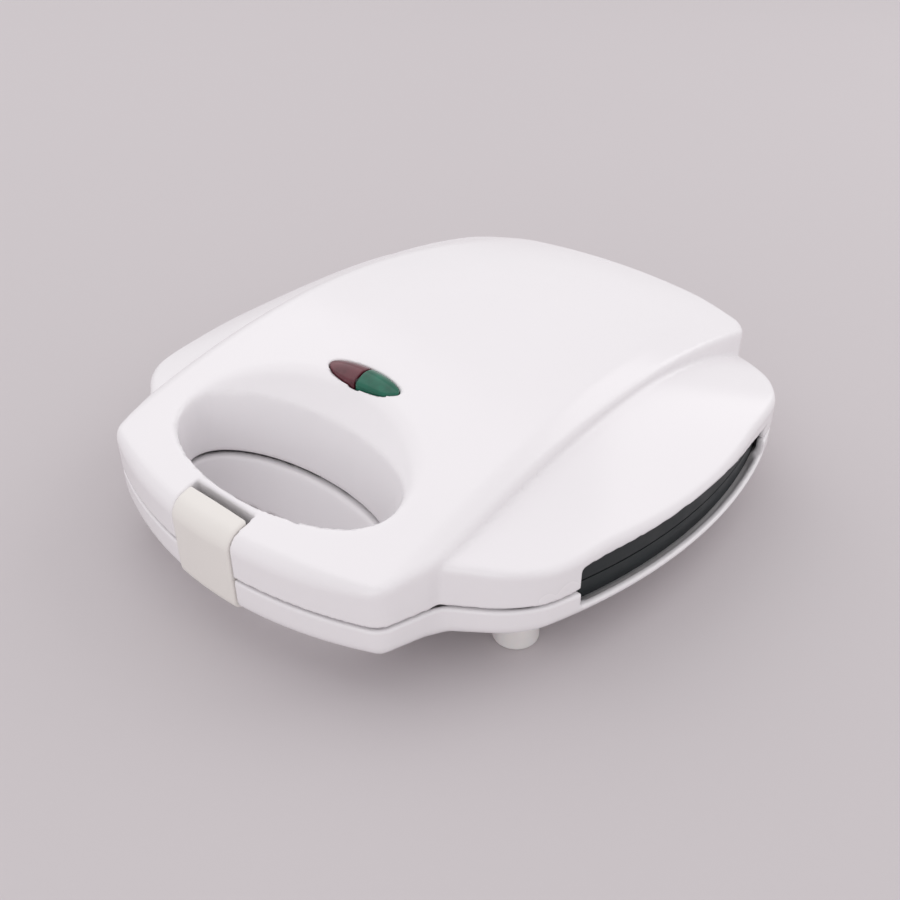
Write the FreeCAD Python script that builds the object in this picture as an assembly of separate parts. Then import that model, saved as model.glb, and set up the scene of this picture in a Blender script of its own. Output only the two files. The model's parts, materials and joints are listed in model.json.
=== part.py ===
"""Donut maker: a hinged clamshell that bakes seven small ring donuts.

Lengths are millimetres. X is across the appliance, +Y runs from the handle
to the hinge, and +Z is up. The origin is the middle of the outer box, on the
surface that the four feet stand on.
"""
import FreeCAD, Part
import math
import os

V = FreeCAD.Vector

# --- overall sizes -----------------------------------------------------------
BODY_W = 225.0            # widest place, across the bulging sides
BODY_D = 238.0            # handle front to rear wall, on the centre line
PART_Z = 28.0             # height of the line where the two shells meet
CROWN_RISE = 41.0         # top of the lid above that line
BASE_DEPTH = 18.0         # deepest place of the base shell below that line
BELLY_DEPTH = 24.0        # bottom of the sunk middle that clears the heater
WALL = 2.4                # shell thickness
SHELL_GAP = 1.0           # groove between the closed shells

# --- plan outline, measured from the front centre ----------------------------
HANDLE_HALF_W = 67.5      # handle corner, sideways
HANDLE_SWEEP = 15.0       # handle corner, behind the front centre
BAND_HALF_W = 73.5        # where the handle meets the shoulders
BAND_START = 35.0
SHOULDER_INSET = 17.0     # shoulder corner, in from the widest place
SHOULDER_START = 50.0
REAR_SHOULDER_INSET = 13.0
REAR_SHOULDER_BACK = 32.0  # rear shoulder corner, ahead of the rear wall
REAR_BAND_BACK = 15.0
REAR_CORNER_BACK = 7.0
WIDEST_AT = 140.0
HANDLE_CORNER_R = 4.0
SHOULDER_R = 7.0
BAND_ROOT_R = 3.0

# --- crowned surfaces --------------------------------------------------------
CROWN_SHIFT = 16.0        # highest place of the lid, behind the body's middle
CROWN_END_DROP = 27.5     # fall of the band from there to the front
CROWN_SIDE_DROP = 5.6     # fall of the band from its middle to its side
FACET_FRONT = 68.0        # inner edge of the band's side facet at the front
FACET_WIDEN = 21.0        # how far it moves in by the rear
FACET_DROP = 2.5          # fall across the facet at the front
FACET_DROP_MORE = 3.0     # added to that by the rear
SHOULDER_TOP = 31.0       # shoulder height beside the band
SHOULDER_END_DROP = 28.8  # its fall from there to the front
SHOULDER_RIM = 7.5        # shoulder height along the outer side
SHOULDER_BOW = 2.6        # how far the shoulder slope bulges
STATIONS = 6              # cross sections that shape the lid, front to rear
BASE_END_RISE = 3.1       # rise of the base's underside to the front and rear
BASE_SIDE_RISE = 7.0      # and to the sides
BELLY_HALF_W = 72.0
BELLY_FRONT = 80.0
BELLY_REAR_BACK = 12.0    # ahead of the rear wall
BELLY_R = 12.0

# --- finger hole -------------------------------------------------------------
HOLE_FRONT = 14.4         # front edge of the hole, from the front centre
HOLE_HALF_W = 47.5
HOLE_LEN = 41.0
HOLE_LEAN_W = 5.0         # the lid's wall leans out by this much at the sides
HOLE_LEAN_L = 10.0        # and by this much at the rear
HOLE_LEAN_RISE = 36.0     # over this height
HOLE_TUCK_W = 2.5         # the base's wall leans in by this much at each side
HOLE_TUCK_L = 8.0         # and by this much at the rear
HOLE_TUCK_DROP = 18.0     # over this depth
LIP_UP = 23.0             # height where the bevel round the hole begins
LIP_RISE = 10.0           # over this height it widens by the next two
LIP_W = 5.0               # at each side
LIP_L = 4.0               # to the rear
HOLE_WALL = 2.0

# --- side openings that show the plates --------------------------------------
GAP_START = 69.0
GAP_END_BACK = 52.0       # ahead of the rear wall
GAP_UP = 7.0
GAP_DOWN = 5.0

# --- cooking plates ----------------------------------------------------------
PLATE_GAP = 0.6           # between the two faces when shut
PLATE_T = 3.0
PLATE_INSET = 4.5         # from the widest outline to the plate edge
PLATE_LID_CLEAR = 0.4     # more air between the upper plate and the lid's inside
PLATE_FRONT_CLEAR = 5.0   # behind the hole wall
PLATE_REAR_CLEAR = 16.0   # ahead of the rear wall's inside
SKIRT_T = 2.0
SKIRT_H = 7.0
DONUT_RING_R = 15.5
DONUT_TUBE_R = 7.5
DONUT_PITCH = 52.0
MOULD_WALL = 2.0

# --- heaters -----------------------------------------------------------------
HEATER_R = 3.2
HEATER_SEAT = 0.1         # air between a heater and the moulds
HEATER_HALF_W = 62.0
HEATER_HALF_L = 48.0
HEATER_BEND_R = 28.0
HEATER_END_X = 8.0        # cold ends, from the centre line
HEATER_END_R = 9.0
HEATER_END_L = 12.0
BAR_W = 10.0
BAR_T = 0.8
BAR_PLAY = 0.05
BAR_OVERHANG = 4.0
BOSS_R = 4.0
REFLECTOR_T = 0.6
REFLECTOR_GAP = 0.8
REFLECTOR_FLANGE = 5.0
REFLECTOR_EDGE = 2.0      # from the belly's inside

# --- latch -------------------------------------------------------------------
LATCH_W = 31.0
LATCH_T = 2.8
LATCH_PROUD = 0.8
LATCH_GAP = 0.5           # air each side of the latch
LATCH_TOP = 9.3           # top edge, behind the front centre
LATCH_DROP = 14.5         # lower end, below the parting line
LATCH_POCKET = 12.4       # rear wall of its pocket
LATCH_RECESS = 4.2        # rear wall of the recess in the base
LATCH_NIB = 0.35          # air between the catch and that wall
LATCH_CATCH_T = 2.2
LATCH_TOP_R = 6.5
LATCH_FOOT_R = 4.0
LATCH_LUG_IN = 7.0        # lugs on the pin, from the centre line
LATCH_LUG_T = 5.0
LATCH_PIVOT_BACK = 6.6
LATCH_PIVOT_UP = 8.6
PIVOT_PIN_R = 1.5
PIVOT_LUG_R = 3.2
PIVOT_PIN_GRIP = 4.0      # how far the pin runs into each side
PIVOT_BORE_END = 1.0      # plastic beyond the pin's bore

# --- hinge -------------------------------------------------------------------
HINGE_BACK = 4.6          # pin behind the rear wall
HINGE_PIN_R = 2.0
KNUCKLE_R = 4.0
KNUCKLE_WEB = 6.4         # height of the webs that carry the lid's knuckles
KNUCKLE_IN = 28.0         # inner side of the inner ears
EAR_T = 6.0
KNUCKLE_L = 16.0
SIDE_PLAY = 0.4
PIN_SLIP = 0.02           # radial, where a pin is fixed
PIN_RUN = 0.05            # radial, where a part turns on it

# --- feet --------------------------------------------------------------------
FOOT_R = 8.0
FOOT_X = 81.6
FOOT_FRONT = 64.0
FOOT_REAR_BACK = 51.0
FOOT_JOINT = 15.0         # where a foot meets its boss, below the parting line
FOOT_SCREW_GRIP = 3.0
FOOT_ROOF = 3.0           # plastic above the well that takes the screw head
FOOT_WELL_PLAY = 0.6
FOOT_BOSS_CLEAR = 1.5     # boss top below the plate's skirt
FOOT_ROUND = 1.5
SEAT_PLAY = 0.1

# --- screws ------------------------------------------------------------------
SCREW_R = 1.5
SCREW_HEAD_R = 3.0
SCREW_HEAD_H = 1.6
SCREW_HOLE_PLAY = 0.25
SCREW_SUNK = 0.2          # head below the plate's face
SCREW_SLIP = 0.02         # radial, where a thread grips
SCREW_GRIP = 6.0
SHORT_GRIP = 3.0          # of the screws in shorter posts
PAN_SCREW_GRIP = 1.2      # of the screws that hold the reflectors
SCREW_SLOT = 0.8
SCREW_END_AIR = 0.3       # between a screw's end and the bottom of its bore
POST_R = 4.0
FRONT_SCREW_X = 88.0
FRONT_SCREW_EDGE = 11.0   # behind the plate's front edge
REAR_SCREW_X = 84.0
REAR_SCREW_BACK = 38.0    # ahead of the rear wall

# --- indicator ---------------------------------------------------------------
LENS_BACK = 77.0
LENS_HALF_L = 15.5
LENS_HALF_W = 6.2
LENS_H = 5.0
LENS_PROUD = 1.6
LENS_DIVIDER = 0.9
DIVIDER_CLEAR = 0.5       # the divider stops short of the lenses' edge and top
LENS_PLAY = 0.15
LENS_BED = 1.0            # how far a lens reaches below the shell
HOLDER_HALF_L = 18.0
HOLDER_HALF_W = 8.5
HOLDER_H = 9.0
HOLDER_EAR = 27.0
HOLDER_EAR_T = 2.0
HOLDER_EAR_DROP = 4.0     # ears below the holder's top
HOLDER_SCREW_X = 23.0
LAMP_R = 2.6
LAMP_L = 12.0
LAMP_X = 8.5
LAMP_DROP = 4.5           # lamp centre below the holder's top
LAMP_PLAY = 0.2

# --- mains side --------------------------------------------------------------
INLET_BORE_R = 3.1
INLET_R = 4.3
INLET_FLANGE_R = 5.6
INLET_FLANGE_T = 1.6
INLET_DROP = 7.6
INLET_PLAY = 0.1
CORD_CLAMP_HALF_W = 12.0
CORD_CLAMP_L = 5.0
CORD_CLAMP_T = 5.0
CORD_CLAMP_BACK = 8.0     # rear side, ahead of the rear wall
CORD_CLAMP_SCREW_X = 8.5
BLOCK_X = 24.0            # terminal block, inner side
BLOCK_L = 24.0
BLOCK_W = 8.0
BLOCK_H = 7.0
BLOCK_UP = 3.5            # its top, below the parting line
BLOCK_BACK = 8.0          # its rear side, ahead of the rear wall
THERMOSTAT_X = 92.0
THERMOSTAT_L = 24.0
THERMOSTAT_W = 11.0
THERMOSTAT_H = 4.5
FUSE_R = 2.0
FUSE_L = 15.0
LEAD_R = 0.6
WIRE_R = 1.1
WIRE_BEND_R = 8.0
WIRE_DROP = 7.0
WIRE_WAY_IN = 8.0         # ends of the skirt's gap for the wires, from the rear screws
WIRE_BORE_PLAY = 0.3
WIRE_LEVEL = 4.34         # of the terminal block's ways, below its top

# --- values worked out from those above --------------------------------------
HALF_W = BODY_W / 2
HINGE_Y = BODY_D + HINGE_BACK
FRONT_Y = (LATCH_PROUD - HINGE_Y - KNUCKLE_R) / 2
HALF_GAP = SHELL_GAP / 2
CROWN_AT = BODY_D / 2 + CROWN_SHIFT
CROWN_R_LONG = CROWN_AT ** 2 / (2 * CROWN_END_DROP)
CROWN_R_CROSS = BAND_HALF_W ** 2 / (2 * CROWN_SIDE_DROP)
SHOULDER_R_LONG = CROWN_AT ** 2 / (2 * SHOULDER_END_DROP)
BASE_R_LONG = (BODY_D / 2) ** 2 / (2 * BASE_END_RISE)
BASE_R_CROSS = HALF_W ** 2 / (2 * BASE_SIDE_RISE)
PLATE_FRONT = HOLE_FRONT + HOLE_LEN + HOLE_WALL + PLATE_FRONT_CLEAR
PLATE_BACK = BODY_D - WALL - PLATE_REAR_CLEAR
PLATE_MID = (PLATE_FRONT + PLATE_BACK) / 2
PLATE_FACE = PLATE_GAP / 2
PLATE_BACK_FACE = PLATE_FACE + PLATE_T
MOULD_BOTTOM = PLATE_FACE + DONUT_TUBE_R + MOULD_WALL
HEATER_LEVEL = MOULD_BOTTOM + HEATER_SEAT + HEATER_R
BAR_LEVEL = HEATER_LEVEL + HEATER_R + BAR_PLAY
REFLECTOR_LEVEL = BAR_LEVEL + BAR_T + SCREW_HEAD_H + REFLECTOR_GAP
ROW_PITCH = DONUT_PITCH * math.sqrt(3) / 2
POCKET_HALF_W = LATCH_W / 2 + LATCH_GAP
LATCH_HALF_W = LATCH_W / 2
EAR_OUT = KNUCKLE_IN + EAR_T + KNUCKLE_L + 2 * SIDE_PLAY
SKIRT_BOTTOM = PLATE_FACE + SKIRT_H
SCREW_SEAT = PLATE_FACE + SCREW_HEAD_H + SCREW_SUNK


def at(x, back, up=0.0):
    """A point given across, behind the front centre, and above the parting line."""
    return V(x, FRONT_Y + back, PART_Z + up)


def rod(start, end, radius):
    """A round bar from one point to another."""
    way = end.sub(start)
    return Part.makeCylinder(radius, way.Length, start, way)


def block(x0, x1, back0, back1, up0, up1):
    """A box given by its sides in the same terms as at()."""
    return Part.makeBox(x1 - x0, back1 - back0, up1 - up0, at(x0, back0, up0))


def mirrored(shape):
    """The shape on the other side of the centre line."""
    return shape.mirror(V(0, 0, 0), V(1, 0, 0))


def both_sides(shape):
    """The shape and its mirror image."""
    return [shape, mirrored(shape)]


def flipped(shape):
    """The shape turned over about the parting plane, from the base to the lid."""
    return shape.mirror(V(0, 0, PART_Z), V(0, 0, 1))


def fuse(first, others):
    """One shape from several that touch."""
    return first.fuse(others).removeSplitter()


def arc(a, b, c):
    return Part.Arc(a, b, c).toShape()


def line(a, b):
    return Part.LineSegment(a, b).toShape()


def outline_prism(up0, up1):
    """The plan outline of both shells, as a solid between two heights."""
    corner = at(HANDLE_HALF_W, HANDLE_SWEEP, up0)
    root = at(BAND_HALF_W, BAND_START, up0)
    shoulder = at(HALF_W - SHOULDER_INSET, SHOULDER_START, up0)
    widest = at(HALF_W, WIDEST_AT, up0)
    rear_shoulder = at(HALF_W - REAR_SHOULDER_INSET, BODY_D - REAR_SHOULDER_BACK, up0)
    rear_root = at(BAND_HALF_W, BODY_D - REAR_BAND_BACK, up0)
    rear_corner = at(HANDLE_HALF_W, BODY_D - REAR_CORNER_BACK, up0)
    left = [V(-p.x, p.y, p.z) for p in
            (corner, root, shoulder, widest, rear_shoulder, rear_root, rear_corner)]
    edges = [
        arc(left[0], at(0, 0, up0), corner),
        line(corner, root),
        line(root, shoulder),
        arc(shoulder, widest, rear_shoulder),
        line(rear_shoulder, rear_root),
        line(rear_root, rear_corner),
        arc(rear_corner, at(0, BODY_D, up0), left[6]),
        line(left[6], left[5]),
        line(left[5], left[4]),
        arc(left[4], left[3], left[2]),
        line(left[2], left[1]),
        line(left[1], left[0]),
    ]
    solid = Part.Face(Part.Wire(edges)).extrude(V(0, 0, up1 - up0))
    rounds = [
        (corner, HANDLE_CORNER_R),
        (shoulder, SHOULDER_R),
        (rear_shoulder, SHOULDER_R),
        (rear_corner, HANDLE_CORNER_R),
        (root, BAND_ROOT_R),
    ]
    for point, radius in rounds:
        solid = solid.makeFillet(radius, upright_edges(solid, point))
    return solid


def upright_edges(solid, point):
    """The vertical edges at a plan point and at its mirror image."""
    found = []
    for edge in solid.Edges:
        ends = [v.Point for v in edge.Vertexes]
        if len(ends) != 2 or abs(ends[0].z - ends[1].z) < 1.0:
            continue
        if all(math.hypot(abs(p.x) - abs(point.x), p.y - point.y) < 0.01 for p in ends):
            found.append(edge)
    return found


def barrel(section, crest_back, crest_up, long_r, sign=1):
    """A crowned solid: a cross section swung about an axis far below its crest."""
    axis = at(0, crest_back, crest_up - sign * long_r)
    swing = math.degrees(BODY_D / long_r)
    face = Part.Face(section)
    start = face.rotated(axis, V(1, 0, 0), -swing)
    return start.revolve(axis, V(1, 0, 0), 2 * swing)


def arched_section(back, up_mid, up_side, half_w, up_far):
    """A closed cross section whose upper side is one shallow arc."""
    top = arc(at(-half_w, back, up_side), at(0, back, up_mid), at(half_w, back, up_side))
    corners = [at(half_w, back, up_side), at(half_w, back, up_far),
               at(-half_w, back, up_far), at(-half_w, back, up_side)]
    return Part.Wire([top] + [line(a, b) for a, b in zip(corners, corners[1:])])


def crown_up(back, x=0.0):
    """Height of the band's top above the parting line."""
    return (CROWN_RISE - (back - CROWN_AT) ** 2 / (2 * CROWN_R_LONG)
            - x * x / (2 * CROWN_R_CROSS))


def shoulder_up(back):
    """Height of the shoulders where they meet the band."""
    return SHOULDER_TOP - (back - CROWN_AT) ** 2 / (2 * SHOULDER_R_LONG)


def stations():
    """Places from front to rear, a little past both ends of the shells."""
    margin = 5.0
    step = (BODY_D + 2 * margin) / (STATIONS - 1)
    return [i * step - margin for i in range(STATIONS)]


def band_section(back, shrink):
    """The band's cross section: a shallow arc with a sloping facet each side."""
    along = max(back, 0) / BODY_D
    inner = FACET_FRONT - FACET_WIDEN * along ** 3
    inner_up = crown_up(back, inner) - shrink
    outer = BAND_HALF_W - shrink
    outer_up = inner_up - FACET_DROP - FACET_DROP_MORE * along
    inner -= shrink / 2
    top = arc(at(-inner, back, inner_up), at(0, back, crown_up(back) - shrink),
              at(inner, back, inner_up))
    corners = [at(inner, back, inner_up), at(outer, back, outer_up), at(outer, back, -20),
               at(-outer, back, -20), at(-outer, back, outer_up), at(-inner, back, inner_up)]
    return Part.Wire([top] + [line(a, b) for a, b in zip(corners, corners[1:])])


def shoulder_section(back, shrink):
    """The shoulders' cross section: a bowed slope down to each side."""
    inner = BAND_HALF_W
    top = shoulder_up(back) - shrink
    rim = SHOULDER_RIM - shrink
    outer = HALF_W + 1
    slope = math.hypot(outer - inner, top - rim)
    mid_x = (outer + inner) / 2 + SHOULDER_BOW * (top - rim) / slope
    mid_up = (top + rim) / 2 + SHOULDER_BOW * (outer - inner) / slope
    left = arc(at(-outer, back, rim), at(-mid_x, back, mid_up), at(-inner, back, top))
    ridge = line(at(-inner, back, top), at(inner, back, top))
    right = arc(at(inner, back, top), at(mid_x, back, mid_up), at(outer, back, rim))
    corners = [at(outer, back, rim), at(outer, back, -20), at(-outer, back, -20),
               at(-outer, back, rim)]
    return Part.Wire([left, ridge, right] + [line(a, b) for a, b in zip(corners, corners[1:])])


def shrunk_outline(inset, up0, up1):
    """The outline prism drawn in by a wall."""
    plan = outline_prism(up0, up1)
    bottom = [f for f in plan.Faces if f.normalAt(0, 0).z < -0.99][0]
    drawn_in = bottom.makeOffset2D(-inset, 2) if inset > 0 else bottom
    return drawn_in.extrude(V(0, 0, up1 - up0))


def lid_form(inset, up0):
    """The outer form of the lid, or the form of its inside."""
    plan = shrunk_outline(inset, up0, CROWN_RISE + 1)
    band = Part.makeLoft([band_section(back, inset) for back in stations()], True)
    shoulders = Part.makeLoft([shoulder_section(back, inset) for back in stations()], True)
    return plan.common(band.fuse(shoulders)).removeSplitter()


def belly(inset, up1):
    """The sunk middle of the base."""
    solid = block(-BELLY_HALF_W + inset, BELLY_HALF_W - inset, BELLY_FRONT + inset,
                  BODY_D - BELLY_REAR_BACK - inset, -BELLY_DEPTH + inset, up1)
    corners = [e for e in solid.Edges
               if abs(e.Vertexes[0].Point.z - e.Vertexes[1].Point.z) > 1]
    return solid.makeFillet(BELLY_R - inset, corners)


def base_form(inset, up1):
    """The outer form of the base, or the form of its inside."""
    half = HALF_W + 10
    rise = half * half / (2 * BASE_R_CROSS)
    low = -BASE_DEPTH + inset
    section = arched_section(PLATE_MID, low, low + rise, half, 20)
    bowl = barrel(section, PLATE_MID, low, BASE_R_LONG, -1)
    tray = shrunk_outline(inset, -BASE_DEPTH - 1, up1).common(bowl)
    return fuse(tray, [belly(inset, -1)])


def oval(half_w, length, up):
    """The edge of the finger hole at one height; its front edge stays in place."""
    curve = Part.Ellipse(at(0, HOLE_FRONT + length / 2, up), half_w, length / 2)
    return Part.Wire(curve.toShape())


def hole_wall(grow, up0, up1, lean_w, lean_l, rise):
    """A stretch of the finger hole with leaning walls, as a solid."""
    def slice_at(up):
        half_w = HOLE_HALF_W + lean_w * up / rise
        length = HOLE_LEN + lean_l * up / rise
        return oval(half_w + grow, length + 2 * grow, up)
    return Part.makeLoft([slice_at(up0), slice_at(up1)], True).translate(V(0, -grow, 0))


def hole_cone(grow, up0, up1):
    """The finger hole in the lid."""
    return hole_wall(grow, up0, up1, HOLE_LEAN_W, HOLE_LEAN_L, HOLE_LEAN_RISE)


def hole_shaft(grow, up0, up1):
    """The finger hole in the base."""
    return hole_wall(grow, up0, up1, HOLE_TUCK_W, HOLE_TUCK_L, HOLE_TUCK_DROP)


def hole_lip(grow):
    """The funnel that bevels the hole's rear top edge."""
    part = LIP_UP / HOLE_LEAN_RISE
    w0 = HOLE_HALF_W + HOLE_LEAN_W * part + grow
    l0 = HOLE_LEN + HOLE_LEAN_L * part + 2 * grow
    rise = (CROWN_RISE - LIP_UP) / LIP_RISE
    funnel = Part.makeLoft([oval(w0, l0, LIP_UP),
                            oval(w0 + LIP_W * rise, l0 + LIP_L * rise, CROWN_RISE)], True)
    return funnel.translate(V(0, -grow, 0))


def side_window(up0, up1):
    """What is taken from a shell's side wall to show the plates."""
    return block(HALF_W - SHOULDER_INSET + 2, HALF_W + 5, GAP_START,
                 BODY_D - GAP_END_BACK, up0, up1)


def plate_screw_places():
    """Where the plate screws stand, on the right half."""
    return [(FRONT_SCREW_X, PLATE_FRONT + FRONT_SCREW_EDGE),
            (REAR_SCREW_X, BODY_D - REAR_SCREW_BACK)]


def bar_screw_places():
    """Where the heater bars are screwed to the plate, between three moulds."""
    third = ROW_PITCH / 3
    return [(DONUT_PITCH / 2, PLATE_MID - third), (DONUT_PITCH / 2, PLATE_MID + third)]


def reflector_screw_places():
    """Where the reflector is screwed down, near its corners, on the right half."""
    x = BELLY_HALF_W - WALL - REFLECTOR_EDGE - 2 * POST_R
    front = BELLY_FRONT + WALL + REFLECTOR_EDGE + 2 * POST_R
    back = BODY_D - BELLY_REAR_BACK - WALL - REFLECTOR_EDGE - 2 * POST_R
    return [(x, front), (x, back)]


def foot_places():
    """Where the feet stand, on the right half."""
    return [(FOOT_X, FOOT_FRONT), (FOOT_X, BODY_D - FOOT_REAR_BACK)]


def post(x, back, up0, up1, radius=POST_R):
    """A round post and its mirror image."""
    return both_sides(rod(at(x, back, up0), at(x, back, up1), radius))


def screw(x, back, up_seat, reach, way=-1):
    """A pan-head screw: its head sits at up_seat and its shank runs on by reach."""
    seat = at(x, back, up_seat)
    head = rod(seat, seat.add(V(0, 0, -way * SCREW_HEAD_H)), SCREW_HEAD_R)
    shank = rod(seat, seat.add(V(0, 0, way * reach)), SCREW_R)
    half = SCREW_SLOT / 2
    slot = Part.makeBox(2 * SCREW_HEAD_R, SCREW_SLOT, SCREW_SLOT,
                        seat.add(V(-SCREW_HEAD_R, -half, -way * SCREW_HEAD_H - half)))
    return fuse(head, [shank]).cut(slot)


def pivot_line(back, up, x0, x1, radius):
    """A bar across the appliance."""
    return rod(at(x0, back, up), at(x1, back, up), radius)


# --- lid ---------------------------------------------------------------------

def lens_space(shape):
    """Set a shape built round the lens centre onto the sloping band."""
    slope = math.degrees((CROWN_AT - LENS_BACK) / CROWN_R_LONG)
    shape.rotate(V(0, 0, 0), V(1, 0, 0), slope)
    shape.translate(at(0, LENS_BACK, crown_up(LENS_BACK)))
    return shape


def lens_oval(grow, low, high):
    ellipse = Part.Ellipse(V(0, 0, low), LENS_HALF_L + grow, LENS_HALF_W + grow)
    return Part.Face(Part.Wire(ellipse.toShape())).extrude(V(0, 0, high - low))


def upper_housing():
    inside = lid_form(WALL, -1)
    pocket_wall = PIVOT_PIN_GRIP + PIVOT_BORE_END
    keep = [hole_cone(HOLE_WALL, -2, CROWN_RISE), hole_lip(HOLE_WALL)]
    keep.append(block(-POCKET_HALF_W - pocket_wall, POCKET_HALF_W + pocket_wall, 0,
                      LATCH_POCKET + HOLE_WALL, -2, CROWN_RISE))
    for x, back in plate_screw_places():
        keep += post(x, back, PLATE_BACK_FACE, CROWN_RISE)
    for x, back in reflector_screw_places():
        keep += post(x, back, REFLECTOR_LEVEL + REFLECTOR_T, CROWN_RISE)
    ear_top = -WALL - LENS_BED - HOLDER_EAR_DROP
    ear_post = Part.makeCylinder(POST_R - 1, CROWN_RISE, V(HOLDER_SCREW_X, 0, ear_top))
    keep += [lens_space(p) for p in both_sides(ear_post)]
    shell = lid_form(0, HALF_GAP).cut(inside.cut(keep))
    knuckles = []
    for x0, x1 in knuckle_spans():
        knuckles.append(pivot_line(HINGE_Y, 0, x0, x1, KNUCKLE_R))
        knuckles.append(block(x0, x1, BODY_D - KNUCKLE_R, HINGE_Y, HALF_GAP, KNUCKLE_WEB))
    shell = fuse(shell, knuckles)
    cuts = [hole_cone(0, -2, CROWN_RISE + 2), hole_lip(0)]
    cuts.append(block(-POCKET_HALF_W, POCKET_HALF_W, -5, LATCH_POCKET, -2, CROWN_RISE))
    cuts += both_sides(side_window(-2, GAP_UP))
    cuts.append(pivot_line(LATCH_PIVOT_BACK, LATCH_PIVOT_UP, -POCKET_HALF_W - PIVOT_PIN_GRIP,
                           POCKET_HALF_W + PIVOT_PIN_GRIP, PIVOT_PIN_R + PIN_SLIP))
    cuts.append(pivot_line(HINGE_Y, 0, -HALF_W, HALF_W, HINGE_PIN_R + PIN_RUN))
    cuts.append(lens_space(lens_oval(LENS_PLAY, -LENS_H - 5, LENS_H)))
    bore = SCREW_R + SCREW_SLIP
    for x, back in plate_screw_places():
        cuts += post(x, back, 0, PLATE_BACK_FACE + SCREW_GRIP, bore)
    for x, back in reflector_screw_places():
        cuts += post(x, back, 0, REFLECTOR_LEVEL + REFLECTOR_T + SCREW_GRIP / 2, bore)
    ear_bore = Part.makeCylinder(bore, SCREW_GRIP, V(HOLDER_SCREW_X, 0, ear_top - 1))
    cuts += [lens_space(p) for p in both_sides(ear_bore)]
    return shell.cut(cuts)


def knuckle_spans():
    """Where the lid's two knuckles lie across the hinge."""
    x0 = KNUCKLE_IN + EAR_T + SIDE_PLAY
    return [(x0, x0 + KNUCKLE_L), (-x0 - KNUCKLE_L, -x0)]


def ear_spans():
    """Where the base's four ears lie across the hinge."""
    outer = EAR_OUT
    return [(KNUCKLE_IN, KNUCKLE_IN + EAR_T), (-KNUCKLE_IN - EAR_T, -KNUCKLE_IN),
            (outer, outer + EAR_T), (-outer - EAR_T, -outer)]


def lens(side):
    """One half of the oval indicator window."""
    body = lens_oval(0, -WALL - LENS_BED, LENS_PROUD + 2)
    dome_r = LENS_HALF_L ** 2 / (2 * LENS_PROUD) + LENS_PROUD
    body = body.common(Part.makeSphere(dome_r, V(0, 0, LENS_PROUD - dome_r)))
    half = Part.makeBox(LENS_HALF_L * 2, LENS_HALF_W * 4, 40, V(0, -LENS_HALF_W * 2, -20))
    half.translate(V(LENS_DIVIDER / 2 + LENS_PLAY / 2, 0, 0))
    if side < 0:
        half = mirrored(half)
    return lens_space(body.common(half))


def lamp_holder():
    top = -WALL - LENS_BED
    body = Part.makeBox(2 * HOLDER_HALF_L, 2 * HOLDER_HALF_W, HOLDER_H,
                        V(-HOLDER_HALF_L, -HOLDER_HALF_W, top - HOLDER_H))
    ears = Part.makeBox(2 * HOLDER_EAR, 2 * POST_R, HOLDER_EAR_T,
                        V(-HOLDER_EAR, -POST_R, top - HOLDER_EAR_DROP - HOLDER_EAR_T))
    rib = Part.makeBox(LENS_DIVIDER, 2 * (LENS_HALF_W - DIVIDER_CLEAR),
                       LENS_PROUD - DIVIDER_CLEAR - top,
                       V(-LENS_DIVIDER / 2, -LENS_HALF_W + DIVIDER_CLEAR, top))
    body = fuse(body, [ears, rib])
    bore = Part.makeCylinder(LAMP_R + LAMP_PLAY, LAMP_L + 2 * LAMP_PLAY,
                             V(LAMP_X - LAMP_L / 2 - LAMP_PLAY, 0, top - LAMP_DROP), V(1, 0, 0))
    well = Part.makeBox(LAMP_L, 2 * LAMP_R, LAMP_DROP + 1,
                        V(LAMP_X - LAMP_L / 2, -LAMP_R, top - LAMP_DROP))
    hole = Part.makeCylinder(SCREW_R + SCREW_HOLE_PLAY, 20, V(HOLDER_SCREW_X, 0, top - 15))
    cuts = []
    for piece in (bore, well, hole):
        cuts += both_sides(piece)
    return lens_space(body.cut(cuts))


def lamp(side):
    """A small neon lamp lying under its lens."""
    top = -WALL - LENS_BED
    start = V(LAMP_X - LAMP_L / 2 + LAMP_R, 0, top - LAMP_DROP)
    glass = Part.makeCylinder(LAMP_R, LAMP_L - LAMP_R, start, V(1, 0, 0))
    glass = fuse(glass, [Part.makeSphere(LAMP_R, start)])
    if side < 0:
        glass = mirrored(glass)
    return lens_space(glass)


def lamp_holder_screws():
    top = -WALL - LENS_BED - HOLDER_EAR_DROP - HOLDER_EAR_T
    head = Part.makeCylinder(SCREW_HEAD_R, SCREW_HEAD_H, V(HOLDER_SCREW_X, 0, top - SCREW_HEAD_H))
    shank = Part.makeCylinder(SCREW_R, HOLDER_EAR_T + SCREW_GRIP - 2, V(HOLDER_SCREW_X, 0, top))
    one = fuse(head, [shank])
    return Part.makeCompound([lens_space(p) for p in both_sides(one)])


# --- plates and heaters: drawn for the base, turned over for the lid ---------

def mould_centres():
    """Seven moulds: rows of two, three and two, evenly packed."""
    centres = []
    for row in (-1, 0, 1):
        count = 3 if row == 0 else 2
        for i in range(count):
            x = (i - (count - 1) / 2) * DONUT_PITCH
            centres.append((x, PLATE_MID + row * ROW_PITCH))
    return centres


def plate_plan(inset, up0, up1):
    plan = shrunk_outline(PLATE_INSET + inset, up0, up1)
    return plan.common(block(-HALF_W, HALF_W, PLATE_FRONT + inset, PLATE_BACK - inset, up0, up1))


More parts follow.
